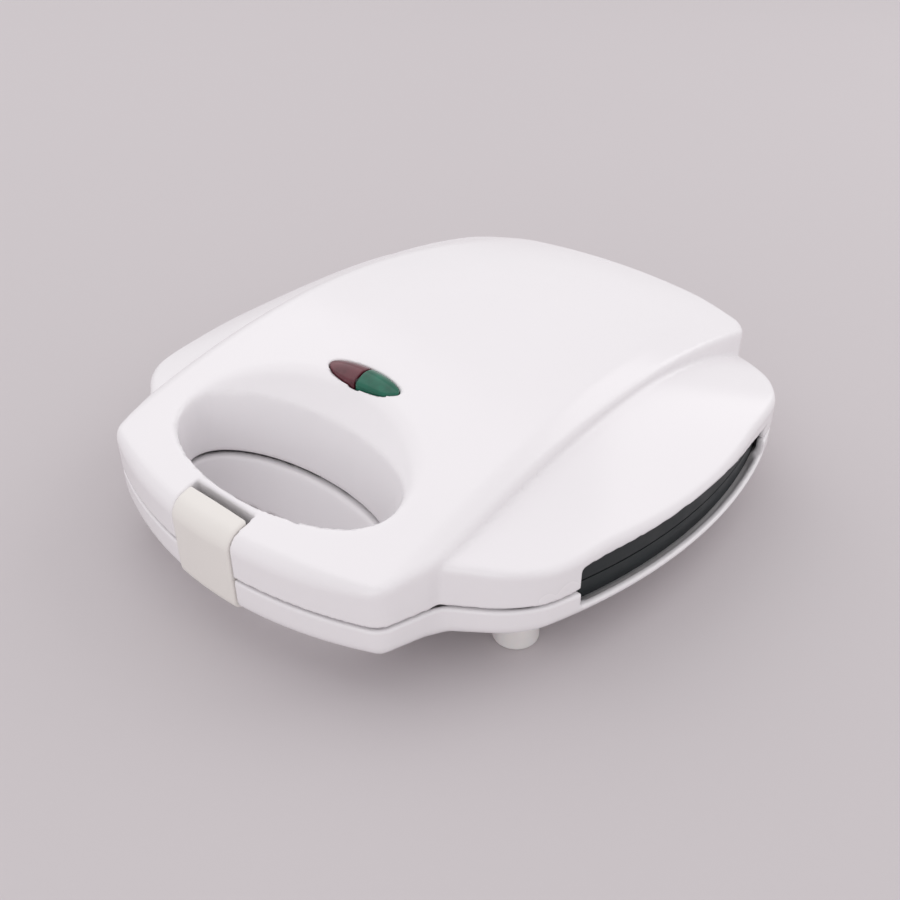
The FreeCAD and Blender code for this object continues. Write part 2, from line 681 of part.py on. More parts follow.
def lower_cooking_plate():
    bottom = -PLATE_FACE - SKIRT_H
    skirt = plate_plan(0, bottom, -PLATE_FACE).cut(plate_plan(SKIRT_T, bottom - 1, 1))
    wire_way = block(-REAR_SCREW_X + WIRE_WAY_IN, REAR_SCREW_X - WIRE_WAY_IN, PLATE_BACK - SKIRT_T - 1,
                     PLATE_BACK + 1, bottom - 1, -PLATE_FACE - SKIRT_H / 2)
    solid = fuse(plate_plan(0, -PLATE_BACK_FACE, -PLATE_FACE), [skirt.cut(wire_way)])
    below = block(-HALF_W, HALF_W, 0, BODY_D, -BELLY_DEPTH, -PLATE_FACE - PLATE_T / 2)
    moulds = []
    rings = []
    for x, back in mould_centres():
        centre = at(x, back, -PLATE_FACE)
        moulds.append(Part.makeTorus(DONUT_RING_R, DONUT_TUBE_R + MOULD_WALL, centre).common(below))
        rings.append(Part.makeTorus(DONUT_RING_R, DONUT_TUBE_R, centre))
    bosses = []
    for x, back in bar_screw_places():
        bosses += post(x, back, -BAR_LEVEL, -PLATE_FACE - PLATE_T / 2, BOSS_R)
    solid = fuse(solid, moulds + bosses)
    cuts = rings
    for x, back in plate_screw_places():
        cuts += post(x, back, -PLATE_BACK_FACE - 1, 0, SCREW_R + SCREW_HOLE_PLAY)
        cuts += post(x, back, -SCREW_SEAT, 0, SCREW_HEAD_R + SCREW_HOLE_PLAY)
    for x, back in bar_screw_places():
        cuts += post(x, back, -BAR_LEVEL - 1, -BAR_LEVEL + SCREW_GRIP, SCREW_R + SCREW_SLIP)
    return solid.cut(cuts)


def upper_cooking_plate():
    clear = WALL + SEAT_PLAY + PLATE_LID_CLEAR
    return flipped(lower_cooking_plate()).common(lid_form(clear, -1))


def lower_heating_element():
    """A bent tube: two cold ends at the rear, and a loop under the moulds."""
    w, l, r, e = HEATER_HALF_W, HEATER_HALF_L, HEATER_BEND_R, HEATER_END_R
    up = -HEATER_LEVEL
    x, rear, front = HEATER_END_X, PLATE_MID + l, PLATE_MID - l
    k = 1 - math.sqrt(0.5)

    def bend(a, mid, b):
        return arc(at(a[0], a[1], up), at(mid[0], mid[1], up), at(b[0], b[1], up))

    def run(a, b):
        return line(at(a[0], a[1], up), at(b[0], b[1], up))

    half = [
        run((x, rear + e + HEATER_END_L), (x, rear + e)),
        bend((x, rear + e), (x + e * k, rear + e * k), (x + e, rear)),
        run((x + e, rear), (w - r, rear)),
        bend((w - r, rear), (w - r * k, rear - r * k), (w, rear - r)),
        run((w, rear - r), (w, front + r)),
        bend((w, front + r), (w - r * k, front + r * k), (w - r, front)),
        run((w - r, front), (0, front)),
    ]
    path = Part.Wire(half)
    start = at(x, rear + e + HEATER_END_L, up)
    ring = Part.Wire(Part.Circle(start, V(0, 1, 0), HEATER_R).toShape())
    tube = path.makePipeShell([ring], True, False)
    return fuse(tube, [mirrored(tube)])


def lower_heater_bars():
    bars = []
    for x, back in bar_screw_places():
        bar = block(-HEATER_HALF_W - BAR_OVERHANG, HEATER_HALF_W + BAR_OVERHANG,
                    back - BAR_W / 2, back + BAR_W / 2, -BAR_LEVEL - BAR_T, -BAR_LEVEL)
        bars.append(bar.cut(post(x, back, -BAR_LEVEL - 5, 0, SCREW_R + SCREW_HOLE_PLAY)))
    return Part.makeCompound(bars)


def lower_heater_bar_screws():
    screws = []
    for x, back in bar_screw_places():
        screws += both_sides(screw(x, back, -BAR_LEVEL - BAR_T, BAR_T + SCREW_GRIP - 1, 1))
    return Part.makeCompound(screws)


def lower_reflector():
    """A shallow steel pan with a turned edge, open towards the heater."""
    half = BELLY_HALF_W - WALL - REFLECTOR_EDGE
    front = BELLY_FRONT + WALL + REFLECTOR_EDGE
    back = BODY_D - BELLY_REAR_BACK - WALL - REFLECTOR_EDGE
    low = -REFLECTOR_LEVEL - REFLECTOR_T
    pan = block(-half, half, front, back, low, low + REFLECTOR_FLANGE)
    edges = [e for e in pan.Edges if abs(e.Vertexes[0].Point.z - e.Vertexes[1].Point.z) > 1]
    pan = pan.makeFillet(BELLY_R - WALL - REFLECTOR_EDGE, edges)
    hollow = block(-half + REFLECTOR_T, half - REFLECTOR_T, front + REFLECTOR_T,
                   back - REFLECTOR_T, low + REFLECTOR_T, 0)
    edges = [e for e in hollow.Edges if abs(e.Vertexes[0].Point.z - e.Vertexes[1].Point.z) > 1]
    pan = pan.cut(hollow.makeFillet(BELLY_R - WALL - REFLECTOR_EDGE - REFLECTOR_T, edges))
    holes = []
    for x, b in reflector_screw_places():
        holes += post(x, b, low - 1, low + 2, SCREW_R + SCREW_HOLE_PLAY)
    return pan.cut(holes)


def lower_reflector_screws():
    screws = []
    for x, back in reflector_screw_places():
        screws += both_sides(screw(x, back, -REFLECTOR_LEVEL, REFLECTOR_T + PAN_SCREW_GRIP, -1))
    return Part.makeCompound(screws)


def lower_plate_screws():
    screws = []
    for x, back in plate_screw_places():
        screws += both_sides(screw(x, back, -SCREW_SEAT, SCREW_GRIP, -1))
    return Part.makeCompound(screws)


# --- base --------------------------------------------------------------------

def lower_housing():
    inside = base_form(WALL, 1)
    floor = -BELLY_DEPTH
    keep = [hole_shaft(HOLE_WALL, floor - 1, 2)]
    keep.append(block(-POCKET_HALF_W - WALL, POCKET_HALF_W + WALL, 0,
                      LATCH_RECESS + WALL, floor, 2))
    for x, back in plate_screw_places():
        keep += post(x, back, floor, -PLATE_BACK_FACE)
    for x, back in reflector_screw_places():
        keep += post(x, back, floor, -REFLECTOR_LEVEL - REFLECTOR_T)
    for x, back in foot_places():
        keep += post(x, back, floor, -SKIRT_BOTTOM - FOOT_BOSS_CLEAR, FOOT_R)
    clamp_mid = BODY_D - CORD_CLAMP_BACK - CORD_CLAMP_L / 2
    keep += post(CORD_CLAMP_SCREW_X, clamp_mid, floor, -INLET_DROP, POST_R - 1)
    block_mid = BODY_D - BLOCK_BACK - BLOCK_W / 2
    keep.append(rod(at(BLOCK_X + BLOCK_L / 2, block_mid, floor),
                    at(BLOCK_X + BLOCK_L / 2, block_mid, -BLOCK_UP - BLOCK_H), POST_R))
    shell = base_form(0, -HALF_GAP).cut(inside.cut(keep))
    ears = []
    for x, back in foot_places():
        ears += post(x, back, -FOOT_JOINT, -SKIRT_BOTTOM - FOOT_BOSS_CLEAR, FOOT_R)
    for x0, x1 in ear_spans():
        ears.append(pivot_line(HINGE_Y, 0, x0, x1, KNUCKLE_R))
        ears.append(block(x0, x1, BODY_D - 2 * KNUCKLE_R, HINGE_Y, -KNUCKLE_R * 2, -HALF_GAP))
    shell = fuse(shell, ears)
    cuts = [hole_shaft(0, floor - 1, 2)]
    cuts.append(block(-POCKET_HALF_W, POCKET_HALF_W, -5, LATCH_RECESS, floor - 1, 2))
    cuts += both_sides(side_window(-GAP_DOWN, 2))
    cuts.append(pivot_line(HINGE_Y, 0, -HALF_W, HALF_W, HINGE_PIN_R + PIN_SLIP))
    for x, back in foot_places():
        cuts += post(x, back, floor, -FOOT_JOINT + FOOT_SCREW_GRIP + SCREW_END_AIR, SCREW_R + SCREW_SLIP)
    bore = SCREW_R + SCREW_SLIP
    for x, back in plate_screw_places():
        cuts += post(x, back, -PLATE_BACK_FACE - SCREW_GRIP, 0, bore)
    for x, back in reflector_screw_places():
        cuts += post(x, back, -REFLECTOR_LEVEL - REFLECTOR_T - PAN_SCREW_GRIP - SCREW_END_AIR, 0, bore)
    cuts += post(CORD_CLAMP_SCREW_X, clamp_mid, -INLET_DROP - SHORT_GRIP, 0, bore)
    cuts.append(rod(at(0, BODY_D - 10, -INLET_DROP), at(0, BODY_D + 5, -INLET_DROP),
                    INLET_R + INLET_PLAY))
    return shell.cut(cuts)


def foot(side, row):
    x, back = foot_places()[row]
    peg = rod(at(x, back, -PART_Z), at(x, back, -FOOT_JOINT), FOOT_R)
    rim = [e for e in peg.Edges
           if len(e.Vertexes) == 1 and e.Vertexes[0].Point.z < 1]
    peg = peg.makeFillet(FOOT_ROUND, rim)
    well = rod(at(x, back, -PART_Z - 1), at(x, back, -FOOT_JOINT - FOOT_ROOF),
               SCREW_HEAD_R + FOOT_WELL_PLAY)
    hole = rod(at(x, back, -PART_Z), at(x, back, 0), SCREW_R + SCREW_HOLE_PLAY)
    peg = peg.cut([well, hole])
    return mirrored(peg) if side < 0 else peg


def foot_screws():
    screws = []
    for x, back in foot_places():
        screws += both_sides(screw(x, back, -FOOT_JOINT - FOOT_ROOF,
                                   FOOT_ROOF + FOOT_SCREW_GRIP, 1))
    return Part.makeCompound(screws)


def hinge_pin(side):
    x0 = KNUCKLE_IN + 0.5
    x1 = EAR_OUT + EAR_T - 0.5
    pin = pivot_line(HINGE_Y, 0, x0, x1, HINGE_PIN_R)
    return mirrored(pin) if side < 0 else pin


def cord_inlet_bush():
    """A rubber bush in the rear wall, flanged on both sides."""
    outer = BODY_D + INLET_PLAY
    inner = BODY_D - WALL - INLET_PLAY
    up = -INLET_DROP
    barrel_part = rod(at(0, inner - INLET_FLANGE_T, up), at(0, outer + INLET_FLANGE_T, up), INLET_R)
    flanges = [
        rod(at(0, outer, up), at(0, outer + INLET_FLANGE_T, up), INLET_FLANGE_R),
        rod(at(0, inner - INLET_FLANGE_T, up), at(0, inner, up), INLET_FLANGE_R),
    ]
    bore = rod(at(0, inner - 5, up), at(0, outer + 5, up), INLET_BORE_R)
    return fuse(barrel_part, flanges).cut(bore)


def cord_clamp():
    y1 = BODY_D - CORD_CLAMP_BACK
    y0 = y1 - CORD_CLAMP_L
    body = block(-CORD_CLAMP_HALF_W, CORD_CLAMP_HALF_W, y0, y1,
                 -INLET_DROP, -INLET_DROP + CORD_CLAMP_T)
    cuts = [rod(at(0, y0 - 1, -INLET_DROP), at(0, y1 + 1, -INLET_DROP), INLET_BORE_R)]
    cuts += post(CORD_CLAMP_SCREW_X, (y0 + y1) / 2, -INLET_DROP - 1, 0,
                 SCREW_R + SCREW_HOLE_PLAY)
    return body.cut(cuts)


def cord_clamp_screws():
    mid = BODY_D - CORD_CLAMP_BACK - CORD_CLAMP_L / 2
    reach = CORD_CLAMP_T + SHORT_GRIP - SCREW_END_AIR
    one = screw(CORD_CLAMP_SCREW_X, mid, -INLET_DROP + CORD_CLAMP_T, reach, -1)
    return Part.makeCompound(both_sides(one))


def terminal_block():
    y1 = BODY_D - BLOCK_BACK
    y0 = y1 - BLOCK_W
    body = block(BLOCK_X, BLOCK_X + BLOCK_L, y0, y1, -BLOCK_UP - BLOCK_H, -BLOCK_UP)
    cuts = []
    for x in terminal_places():
        cuts.append(rod(at(x, y0 - 1, block_level()), at(x, y1 + 1, block_level()),
                        WIRE_R + WIRE_BORE_PLAY))
        mid = at(x, (y0 + y1) / 2, block_level())
        cuts.append(rod(mid, V(mid.x, mid.y, PART_Z), SCREW_R + WIRE_BORE_PLAY))
    return body.cut(cuts)


def block_level():
    return -BLOCK_UP - WIRE_LEVEL


def terminal_places():
    """The three ways of the terminal block, across."""
    step = BLOCK_L / 3
    return [BLOCK_X + step * (i + 0.5) for i in range(3)]


def terminal_screws():
    mid = BODY_D - BLOCK_BACK - BLOCK_W / 2
    low = block_level() + WIRE_R + SEAT_PLAY
    return Part.makeCompound([rod(at(x, mid, low), at(x, mid, -BLOCK_UP - SCREW_SUNK), SCREW_R)
                              for x in terminal_places()])


def thermostat():
    """A bimetal thermostat under the left side of the lower plate."""
    top = -PLATE_BACK_FACE - 0.1
    x = -THERMOSTAT_X
    body = block(x - THERMOSTAT_W / 2, x + THERMOSTAT_W / 2, PLATE_MID - THERMOSTAT_L / 2,
                 PLATE_MID + THERMOSTAT_L / 2, top - THERMOSTAT_H, top)
    tabs = [block(x - 2, x + 2, PLATE_MID + s * (THERMOSTAT_L / 2 + 2) - 3,
                  PLATE_MID + s * (THERMOSTAT_L / 2 + 2) + 3, top - THERMOSTAT_H,
                  top - THERMOSTAT_H + 0.8) for s in (-1, 1)]
    return fuse(body, tabs)


def thermal_fuse():
    """A one-shot fuse with its leads, under the right side of the lower plate."""
    up = -PLATE_BACK_FACE - FUSE_R - 0.2
    x = THERMOSTAT_X
    can = rod(at(x, PLATE_MID - FUSE_L / 2, up), at(x, PLATE_MID + FUSE_L / 2, up), FUSE_R)
    leads = rod(at(x, PLATE_MID - FUSE_L, up), at(x, PLATE_MID + FUSE_L, up), LEAD_R)
    return fuse(can, [leads])


def wire(points):
    """A round wire along straight runs joined by arcs."""
    runs = []
    start = points[0]
    for a, b, c in zip(points, points[1:], points[2:]):
        u = a.sub(b)
        w = c.sub(b)
        half = w.getAngle(u) / 2
        cut = min(WIRE_BEND_R / math.tan(half), 0.45 * u.Length, 0.45 * w.Length)
        u.normalize()
        w.normalize()
        first = b.add(V(u).multiply(cut))
        last = b.add(V(w).multiply(cut))
        inward = V(u).add(w)
        inward.normalize()
        radius = cut * math.tan(half)
        centre = b.add(V(inward).multiply(radius / math.sin(half)))
        middle = centre.sub(V(inward).multiply(radius))
        runs.append(line(start, first))
        runs.append(arc(first, middle, last))
        start = last
    runs.append(line(start, points[-1]))
    path = Part.Wire(runs)
    ring = Part.Wire(Part.Circle(points[0], points[1].sub(points[0]), WIRE_R).toShape())
    return path.makePipeShell([ring], True, False)


def base_wiring():
    """Leads from the terminal block to the thermostat, the fuse and the heater."""
    front = BODY_D - BLOCK_BACK - BLOCK_W
    ways = terminal_places()
    level = block_level()
    fuse_end = PLATE_MID + FUSE_L
    to_fuse = [at(ways[2], front - 0.2, level), at(ways[2] + 4, front - 8, level - 1),
               at(ways[2] + 24, front - 14, -WIRE_DROP), at(THERMOSTAT_X - 14, fuse_end + 22, -WIRE_DROP),
               at(THERMOSTAT_X, fuse_end + 10, -WIRE_DROP + 1),
               at(THERMOSTAT_X, fuse_end + 1.5, -PLATE_BACK_FACE - FUSE_R - 0.2)]
    return Part.makeCompound([wire(to_fuse)])


# --- latch -------------------------------------------------------------------

def latch():
    """A C-shaped clip: top edge to press, front face, and a catch at its foot."""
    p, t = LATCH_PROUD, LATCH_T
    top = crown_up(LATCH_TOP)
    low = -LATCH_DROP
    catch = LATCH_RECESS - LATCH_NIB
    shape = [(LATCH_TOP, top), (-p, top - 0.8), (-p, low), (catch, low),
             (catch, low + LATCH_CATCH_T), (t - p, low + LATCH_CATCH_T),
             (t - p, top - 0.8 - t), (LATCH_TOP, top - t)]
    points = [at(-LATCH_HALF_W, back, up) for back, up in shape]
    strip = Part.Face(Part.makePolygon(points + points[:1])).extrude(V(LATCH_W, 0, 0))

    def across(back, up):
        spot = at(0, back, up)
        return [e for e in strip.Edges
                if all(abs(v.Point.y - spot.y) < 0.01 and abs(v.Point.z - spot.z) < 0.01
                       for v in e.Vertexes)]

    rounds = [(-p, top - 0.8, LATCH_TOP_R), (-p, low, LATCH_FOOT_R),
              (t - p, top - 0.8 - t, LATCH_TOP_R - t)]
    for back, up, radius in rounds:
        strip = strip.makeFillet(radius, across(back, up))
    lugs = []
    for x in (LATCH_LUG_IN, -LATCH_LUG_IN - LATCH_LUG_T):
        lugs.append(pivot_line(LATCH_PIVOT_BACK, LATCH_PIVOT_UP, x, x + LATCH_LUG_T, PIVOT_LUG_R))
        lugs.append(block(x, x + LATCH_LUG_T, t / 2 - p, LATCH_PIVOT_BACK,
                          LATCH_PIVOT_UP - PIVOT_LUG_R, LATCH_PIVOT_UP + PIVOT_LUG_R))
    bore = pivot_line(LATCH_PIVOT_BACK, LATCH_PIVOT_UP, -HALF_W, HALF_W, PIVOT_PIN_R + PIN_RUN)
    return fuse(strip, lugs).cut(bore)


def latch_pin():
    reach = POCKET_HALF_W + PIVOT_PIN_GRIP - 0.5
    return pivot_line(LATCH_PIVOT_BACK, LATCH_PIVOT_UP, -reach, reach, PIVOT_PIN_R)


def parts():
    """Every piece, by its name."""
    made = {
        "lower_housing": lower_housing(),
        "lower_cooking_plate": lower_cooking_plate(),
        "lower_heating_element": lower_heating_element(),
        "lower_heater_bars": lower_heater_bars(),
        "lower_heater_bar_screws": lower_heater_bar_screws(),
        "lower_reflector": lower_reflector(),
        "lower_reflector_screws": lower_reflector_screws(),
        "lower_plate_screws": lower_plate_screws(),
        "thermostat": thermostat(),
        "thermal_fuse": thermal_fuse(),
        "terminal_block": terminal_block(),
        "terminal_screws": terminal_screws(),
        "base_wiring": base_wiring(),
        "cord_inlet_bush": cord_inlet_bush(),
        "cord_clamp": cord_clamp(),
        "cord_clamp_screws": cord_clamp_screws(),
        "foot_screws": foot_screws(),
        "upper_housing": upper_housing(),
        "upper_cooking_plate": upper_cooking_plate(),
        "lamp_holder": lamp_holder(),
        "lamp_holder_screws": lamp_holder_screws(),
        "red_lens": lens(-1),
        "green_lens": lens(1),
        "red_lamp": lamp(-1),
        "green_lamp": lamp(1),
        "latch": latch(),
        "latch_pin": latch_pin(),
    }
    for side, name in ((-1, "left"), (1, "right")):
        made["hinge_pin_" + name] = hinge_pin(side)
        made["foot_front_" + name] = foot(side, 0)
        made["foot_rear_" + name] = foot(side, 1)
    for name in ("heating_element", "heater_bars", "heater_bar_screws", "reflector",
                 "reflector_screws", "plate_screws"):
        made["upper_" + name] = flipped(made["lower_" + name])
    return made


os.makedirs("parts", exist_ok=True)
for name, shape in parts().items():
    shape.exportStep("parts/" + name + ".step")
    print(name, "solids", len(shape.Solids), "volume", round(shape.Volume, 1))
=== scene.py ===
# %% [markdown]
# # A seven-ring donut maker in white plastic
# The appliance is a clamshell: two moulded shells that meet at a dark groove,
# a hinge behind, a clip in front, and two cast cooking plates inside. The
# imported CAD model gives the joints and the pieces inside. This notebook gives
# the shells, the clip, the lenses and the lamp holder the soft forms of real
# mouldings, and then gives every piece its finish and the whole its light.

# %% Load the fixed frame
import json
import math

import bpy
import numpy as np
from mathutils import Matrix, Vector


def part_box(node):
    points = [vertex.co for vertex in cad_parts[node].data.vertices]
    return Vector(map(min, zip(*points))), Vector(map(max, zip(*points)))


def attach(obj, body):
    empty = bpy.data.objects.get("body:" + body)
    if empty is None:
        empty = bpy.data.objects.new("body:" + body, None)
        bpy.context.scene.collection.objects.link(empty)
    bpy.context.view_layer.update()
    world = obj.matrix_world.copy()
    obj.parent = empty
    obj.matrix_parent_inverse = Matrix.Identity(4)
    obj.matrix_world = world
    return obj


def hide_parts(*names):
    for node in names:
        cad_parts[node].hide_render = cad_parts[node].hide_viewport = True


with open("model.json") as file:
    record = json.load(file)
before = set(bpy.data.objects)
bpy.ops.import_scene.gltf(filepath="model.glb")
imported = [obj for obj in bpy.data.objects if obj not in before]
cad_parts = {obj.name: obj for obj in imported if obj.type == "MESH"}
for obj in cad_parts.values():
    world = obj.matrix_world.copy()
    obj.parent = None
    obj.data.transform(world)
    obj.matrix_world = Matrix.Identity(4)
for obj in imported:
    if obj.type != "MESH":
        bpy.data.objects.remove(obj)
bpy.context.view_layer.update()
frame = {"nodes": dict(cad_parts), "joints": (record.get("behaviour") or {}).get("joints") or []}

NODES = frame["nodes"]

# %% [markdown]
# ## Where things are
# Shapes are worked out in millimetres in the shells' own terms: x across,
# y back from the middle of the handle's front, z up from the groove where the
# shells meet. The frame gives both starting points, so everything lands where
# the CAD says: the front comes from the clip's box, which stands a little proud
# of the handle, and the groove from the hinge, whose pins lie at its height.

# %% Places taken from the frame
MM = 0.001
GROOVE = 1.4                                    # open groove between the rims, mm
LATCH_PROUD = 0.8                               # the clip stands this far out, mm
FRONT_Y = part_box("latch")[0].y / MM + LATCH_PROUD
HINGE = Vector(frame["joints"][0]["pos_m"]) / MM
HINGE_BACK = HINGE.y - FRONT_Y
GROOVE_Z = HINGE.z
print("front at y", round(FRONT_Y, 2), "groove at z", round(GROOVE_Z, 2))


def to_frame(points):
    """Shell terms in millimetres to the frame's metres."""
    return (np.asarray(points, float) + (0.0, FRONT_Y, GROOVE_Z)) * MM


# %% [markdown]
# ## Moulded plastic as a field
# A moulded shell has no sharp edge anywhere: every corner is a blend. Bevel
# modifiers struggle where many blends meet, so the shells are described by a
# distance-like field instead, negative inside and positive outside. Blends are
# then simple: a rounded maximum makes an outside corner, a rounded minimum an
# inside one.

# %% Rounded corners
def round_max(a, b, r):
    """Both shapes at once, with the outside corner rounded to radius r."""
    corner = np.hypot(np.maximum(a + r, 0), np.maximum(b + r, 0))
    return np.minimum(np.maximum(a, b), -r) + corner


def round_min(a, b, r):
    """Either shape, with the inside corner filled to radius r."""
    return -round_max(-a, -b, r)


def soft_min(a, b, k):
    """The lower of two heights, blended where they are within k of each other."""
    near = np.maximum(k - np.abs(a - b), 0) / k
    return np.minimum(a, b) - near * near * k / 4


def ease(t):
    """A soft step from 0 to 1."""
    t = np.clip(t, 0, 1)
    return t * t * (3 - 2 * t)


print("a corner rounded to 5 mm is cut back by", round(float(round_max(0, 0, 5)), 2), "mm")

# %% [markdown]
# ## The outline seen from above
# The band that runs from the handle to the hinge has a bowed front and rear.
# A bulging shoulder is joined to each side of it. Each edge is a line or a
# large arc.

# %% Sizes of the outline, in millimetres
DEPTH = 238.0
FRONT_BOW_R = 162.0
REAR_BOW_R = 329.0
# corners of the right half, from front to rear, as (across, back)
HANDLE_CORNER = (67.5, 15.0)
BAND_CORNER = (73.5, 35.0)
SHOULDER_CORNER = (95.5, 50.0)
WIDEST = (112.5, 140.0)
REAR_SHOULDER = (99.5, 206.0)
REAR_BAND = (73.5, 223.0)
REAR_CORNER = (67.5, 231.0)
BAND_ROUND = 3.0         # where the band's front and rear meet its sides
BAND_BEND = 1.5          # where its side turns straight, behind the handle
REAR_BEND = 2.0          # and where it turns in again
SHOULDER_BENDS = (6.0, 7.0)
SHOULDER_IN = 60.0       # the shoulders end here, inside the band


def line_side(x, y, a, b):
    """Distance to the right of the line from a to b."""
    dx, dy = b[0] - a[0], b[1] - a[1]
    return ((x - a[0]) * dy - (y - a[1]) * dx) / math.hypot(dx, dy)


def circle_through(a, b, c):
    """Centre and radius of the circle through three points."""
    m = np.array([[b[0] - a[0], b[1] - a[1]], [c[0] - b[0], c[1] - b[1]]], float)
    v = [np.dot(m[0], np.add(a, b) / 2), np.dot(m[1], np.add(b, c) / 2)]
    centre = np.linalg.solve(m, v)
    return centre, math.dist(centre, a)


SIDE_CENTRE, SIDE_R = circle_through(SHOULDER_CORNER, WIDEST, REAR_SHOULDER)


def band_plan(x, y):
    """The middle band: negative inside."""
    x = np.abs(x)
    front = np.hypot(x, y - FRONT_BOW_R) - FRONT_BOW_R
    rear = np.hypot(x, y - DEPTH + REAR_BOW_R) - REAR_BOW_R
    side = line_side(x, y, HANDLE_CORNER, BAND_CORNER)
    flat = x - BAND_CORNER[0]
    rear_side = line_side(x, y, REAR_BAND, REAR_CORNER)
    plan = round_max(np.where(y < DEPTH / 2, front, -DEPTH / 2), side, BAND_ROUND)
    plan = round_max(plan, flat, BAND_BEND)
    plan = round_max(plan, rear_side, REAR_BEND)
    return round_max(plan, np.where(y > DEPTH / 2, rear, -DEPTH / 2), BAND_ROUND)


def shoulder_plan(x, y, tuck=0.0):
    """The part that bulges to both sides: negative inside. tuck pulls its side in."""
    x = np.abs(x)
    side = np.hypot(x - SIDE_CENTRE[0], y - SIDE_CENTRE[1]) - SIDE_R + tuck
    front = line_side(x, y, BAND_CORNER, SHOULDER_CORNER)
    rear = line_side(x, y, REAR_SHOULDER, REAR_BAND)
    plan = round_max(round_max(side, front, SHOULDER_BENDS[0]), rear, SHOULDER_BENDS[1])
    return np.maximum(plan, SHOULDER_IN - x)


print("side arc radius", round(SIDE_R, 1), "mm")

# %% [markdown]
# ## The crowned top
# The band is a shallow barrel, highest behind the middle. A facet runs along
# each side and widens to the rear. The shoulders start level with the band in
# the middle of the appliance and fall away to the front and rear, so the step
# between them fades in and out.

# %% Heights of the lid
CROWN = 41.0
CROWN_AT = 135.0
CROWN_R = 331.0
CROWN_CROSS_R = 480.0
FRONT_FLAT = 40.0        # ahead of this the crown runs on straight
FACET_IN = 68.0
FACET_WIDEN = 21.0
FACET_DROP = (2.5, 3.0)  # at the front, and how much more at the rear
FACET_BLEND = 0.8
RIDGE = 29.6
RIDGE_AT = 138.0
RIDGE_R = 290.0          # curve of the shoulders' ridge towards the front
RIDGE_REAR_R = 180.0     # and towards the rear
RIDGE_FLAT = 88.0
RIM = 9.6                # the shoulders' outer edge at their widest place
RIM_DROP = 1.5           # it is this much lower
RIM_REACH = 110          # so far ahead of that place or behind it
TUCK = 2.2               # the lid stands in by this much over the side openings
SHOULDER_BOW = 0.34      # how much fuller than a straight slope


def arch(y, top, middle, radius, rear_radius, straight_before):
    """A parabola over y that runs on as a straight slope at its front end."""
    y1 = np.maximum(y, straight_before)
    slope = (middle - straight_before) / radius
    bend = np.where(y1 > middle, rear_radius, radius)
    return top - (y1 - middle) ** 2 / (2 * bend) - slope * (y1 - y)


def band_top(x, y):
    x = np.abs(x)
    along = np.clip(y / DEPTH, 0, 1)
    crown = arch(y, CROWN, CROWN_AT, CROWN_R, CROWN_R, FRONT_FLAT)
    inner = FACET_IN - FACET_WIDEN * along ** 3
    drop = FACET_DROP[0] + FACET_DROP[1] * along
    top = crown - x * x / (2 * CROWN_CROSS_R)
    facet = crown - inner * inner / (2 * CROWN_CROSS_R)
    facet = facet - (x - inner) * drop / (BAND_CORNER[0] - inner)
    return soft_min(top, facet, FACET_BLEND)


def shoulder_top(x, y):
    x = np.abs(x)
    ridge = arch(y, RIDGE, RIDGE_AT, RIDGE_R, RIDGE_REAR_R, RIDGE_FLAT)
    rim = RIM - ((y - WIDEST[1]) / RIM_REACH) ** 2 * RIM_DROP
    t = (WIDEST[0] - x) / (WIDEST[0] - BAND_CORNER[0])
    return rim + (ridge - rim) * (t + SHOULDER_BOW * t * (1 - t))


print("handle's front", round(float(band_top(0, 0)), 1), "mm and crown", CROWN, "mm above the groove")

# %% [markdown]
# ## The lid's form
# The handle's front has a full round that hands like to close on. The other
# edges are tighter, and the round shrinks over a short stretch behind the
# handle. Over the side openings the lid stands in a little, so the base's rim
# shows below it as a ledge.

# %% The lid as a solid
HANDLE_ROUND = 5.0       # top edge along the handle's front
TOP_ROUND = 1.8          # the band's other top edges
ROUND_FADE = (20, 16)    # where the first has become the second, and over what length
SHOULDER_ROUND = 2.2
SHOULDER_CREASE = 1.0    # fillet where a shoulder meets the band
TUCK_IN = (60, 25)       # the lid starts to stand in here, over this length
TUCK_OUT = (198, 30)     # and is out again here, over this one


def lid_form(x, y, z, inset=0.0):
    """The lid as a solid, without its hollow; inset makes the hollow's form."""
    edge = TOP_ROUND + (HANDLE_ROUND - TOP_ROUND) * ease((ROUND_FADE[0] - y) / ROUND_FADE[1])
    band = round_max(band_plan(x, y) + inset, z - band_top(x, y) + inset, edge)
    tuck = TUCK * ease((y - TUCK_IN[0]) / TUCK_IN[1]) * ease((TUCK_OUT[0] - y) / TUCK_OUT[1])
    side = round_max(shoulder_plan(x, y, tuck) + inset, z - shoulder_top(x, y) + inset,
                     SHOULDER_ROUND)
    return round_min(band, side, SHOULDER_CREASE)


print("the lid's hollow is the same form, set in by the wall")

# %% [markdown]
# ## The base's form
# The base is a shallow bowl of the same outline. Its middle is sunk into a
# belly that gives the heater and its reflector room.

# %% Heights of the base
BASE_DEPTH = 18.0
BASE_MID = 141.0                     # the bowl is deepest here
BASE_R = (900.0, 2270.0)             # curve of its bottom across, and along
BASE_ROUND = 4.5
BASE_CREASE = 3.0                    # inside corner between band and shoulders
BELLY = (72.0, 80.0, 226.0, 24.0)    # half width, front, rear, depth
BELLY_CORNER = 12.0
BELLY_ROUND = 2.0


def box_plan(x, y, half, y0, y1, r):
    """A rectangle with rounded corners, seen from above."""
    qx = np.abs(x) - half + r
    qy = np.abs(y - (y0 + y1) / 2) - (y1 - y0) / 2 + r
    return np.hypot(np.maximum(qx, 0), np.maximum(qy, 0)) + np.minimum(np.maximum(qx, qy), 0) - r


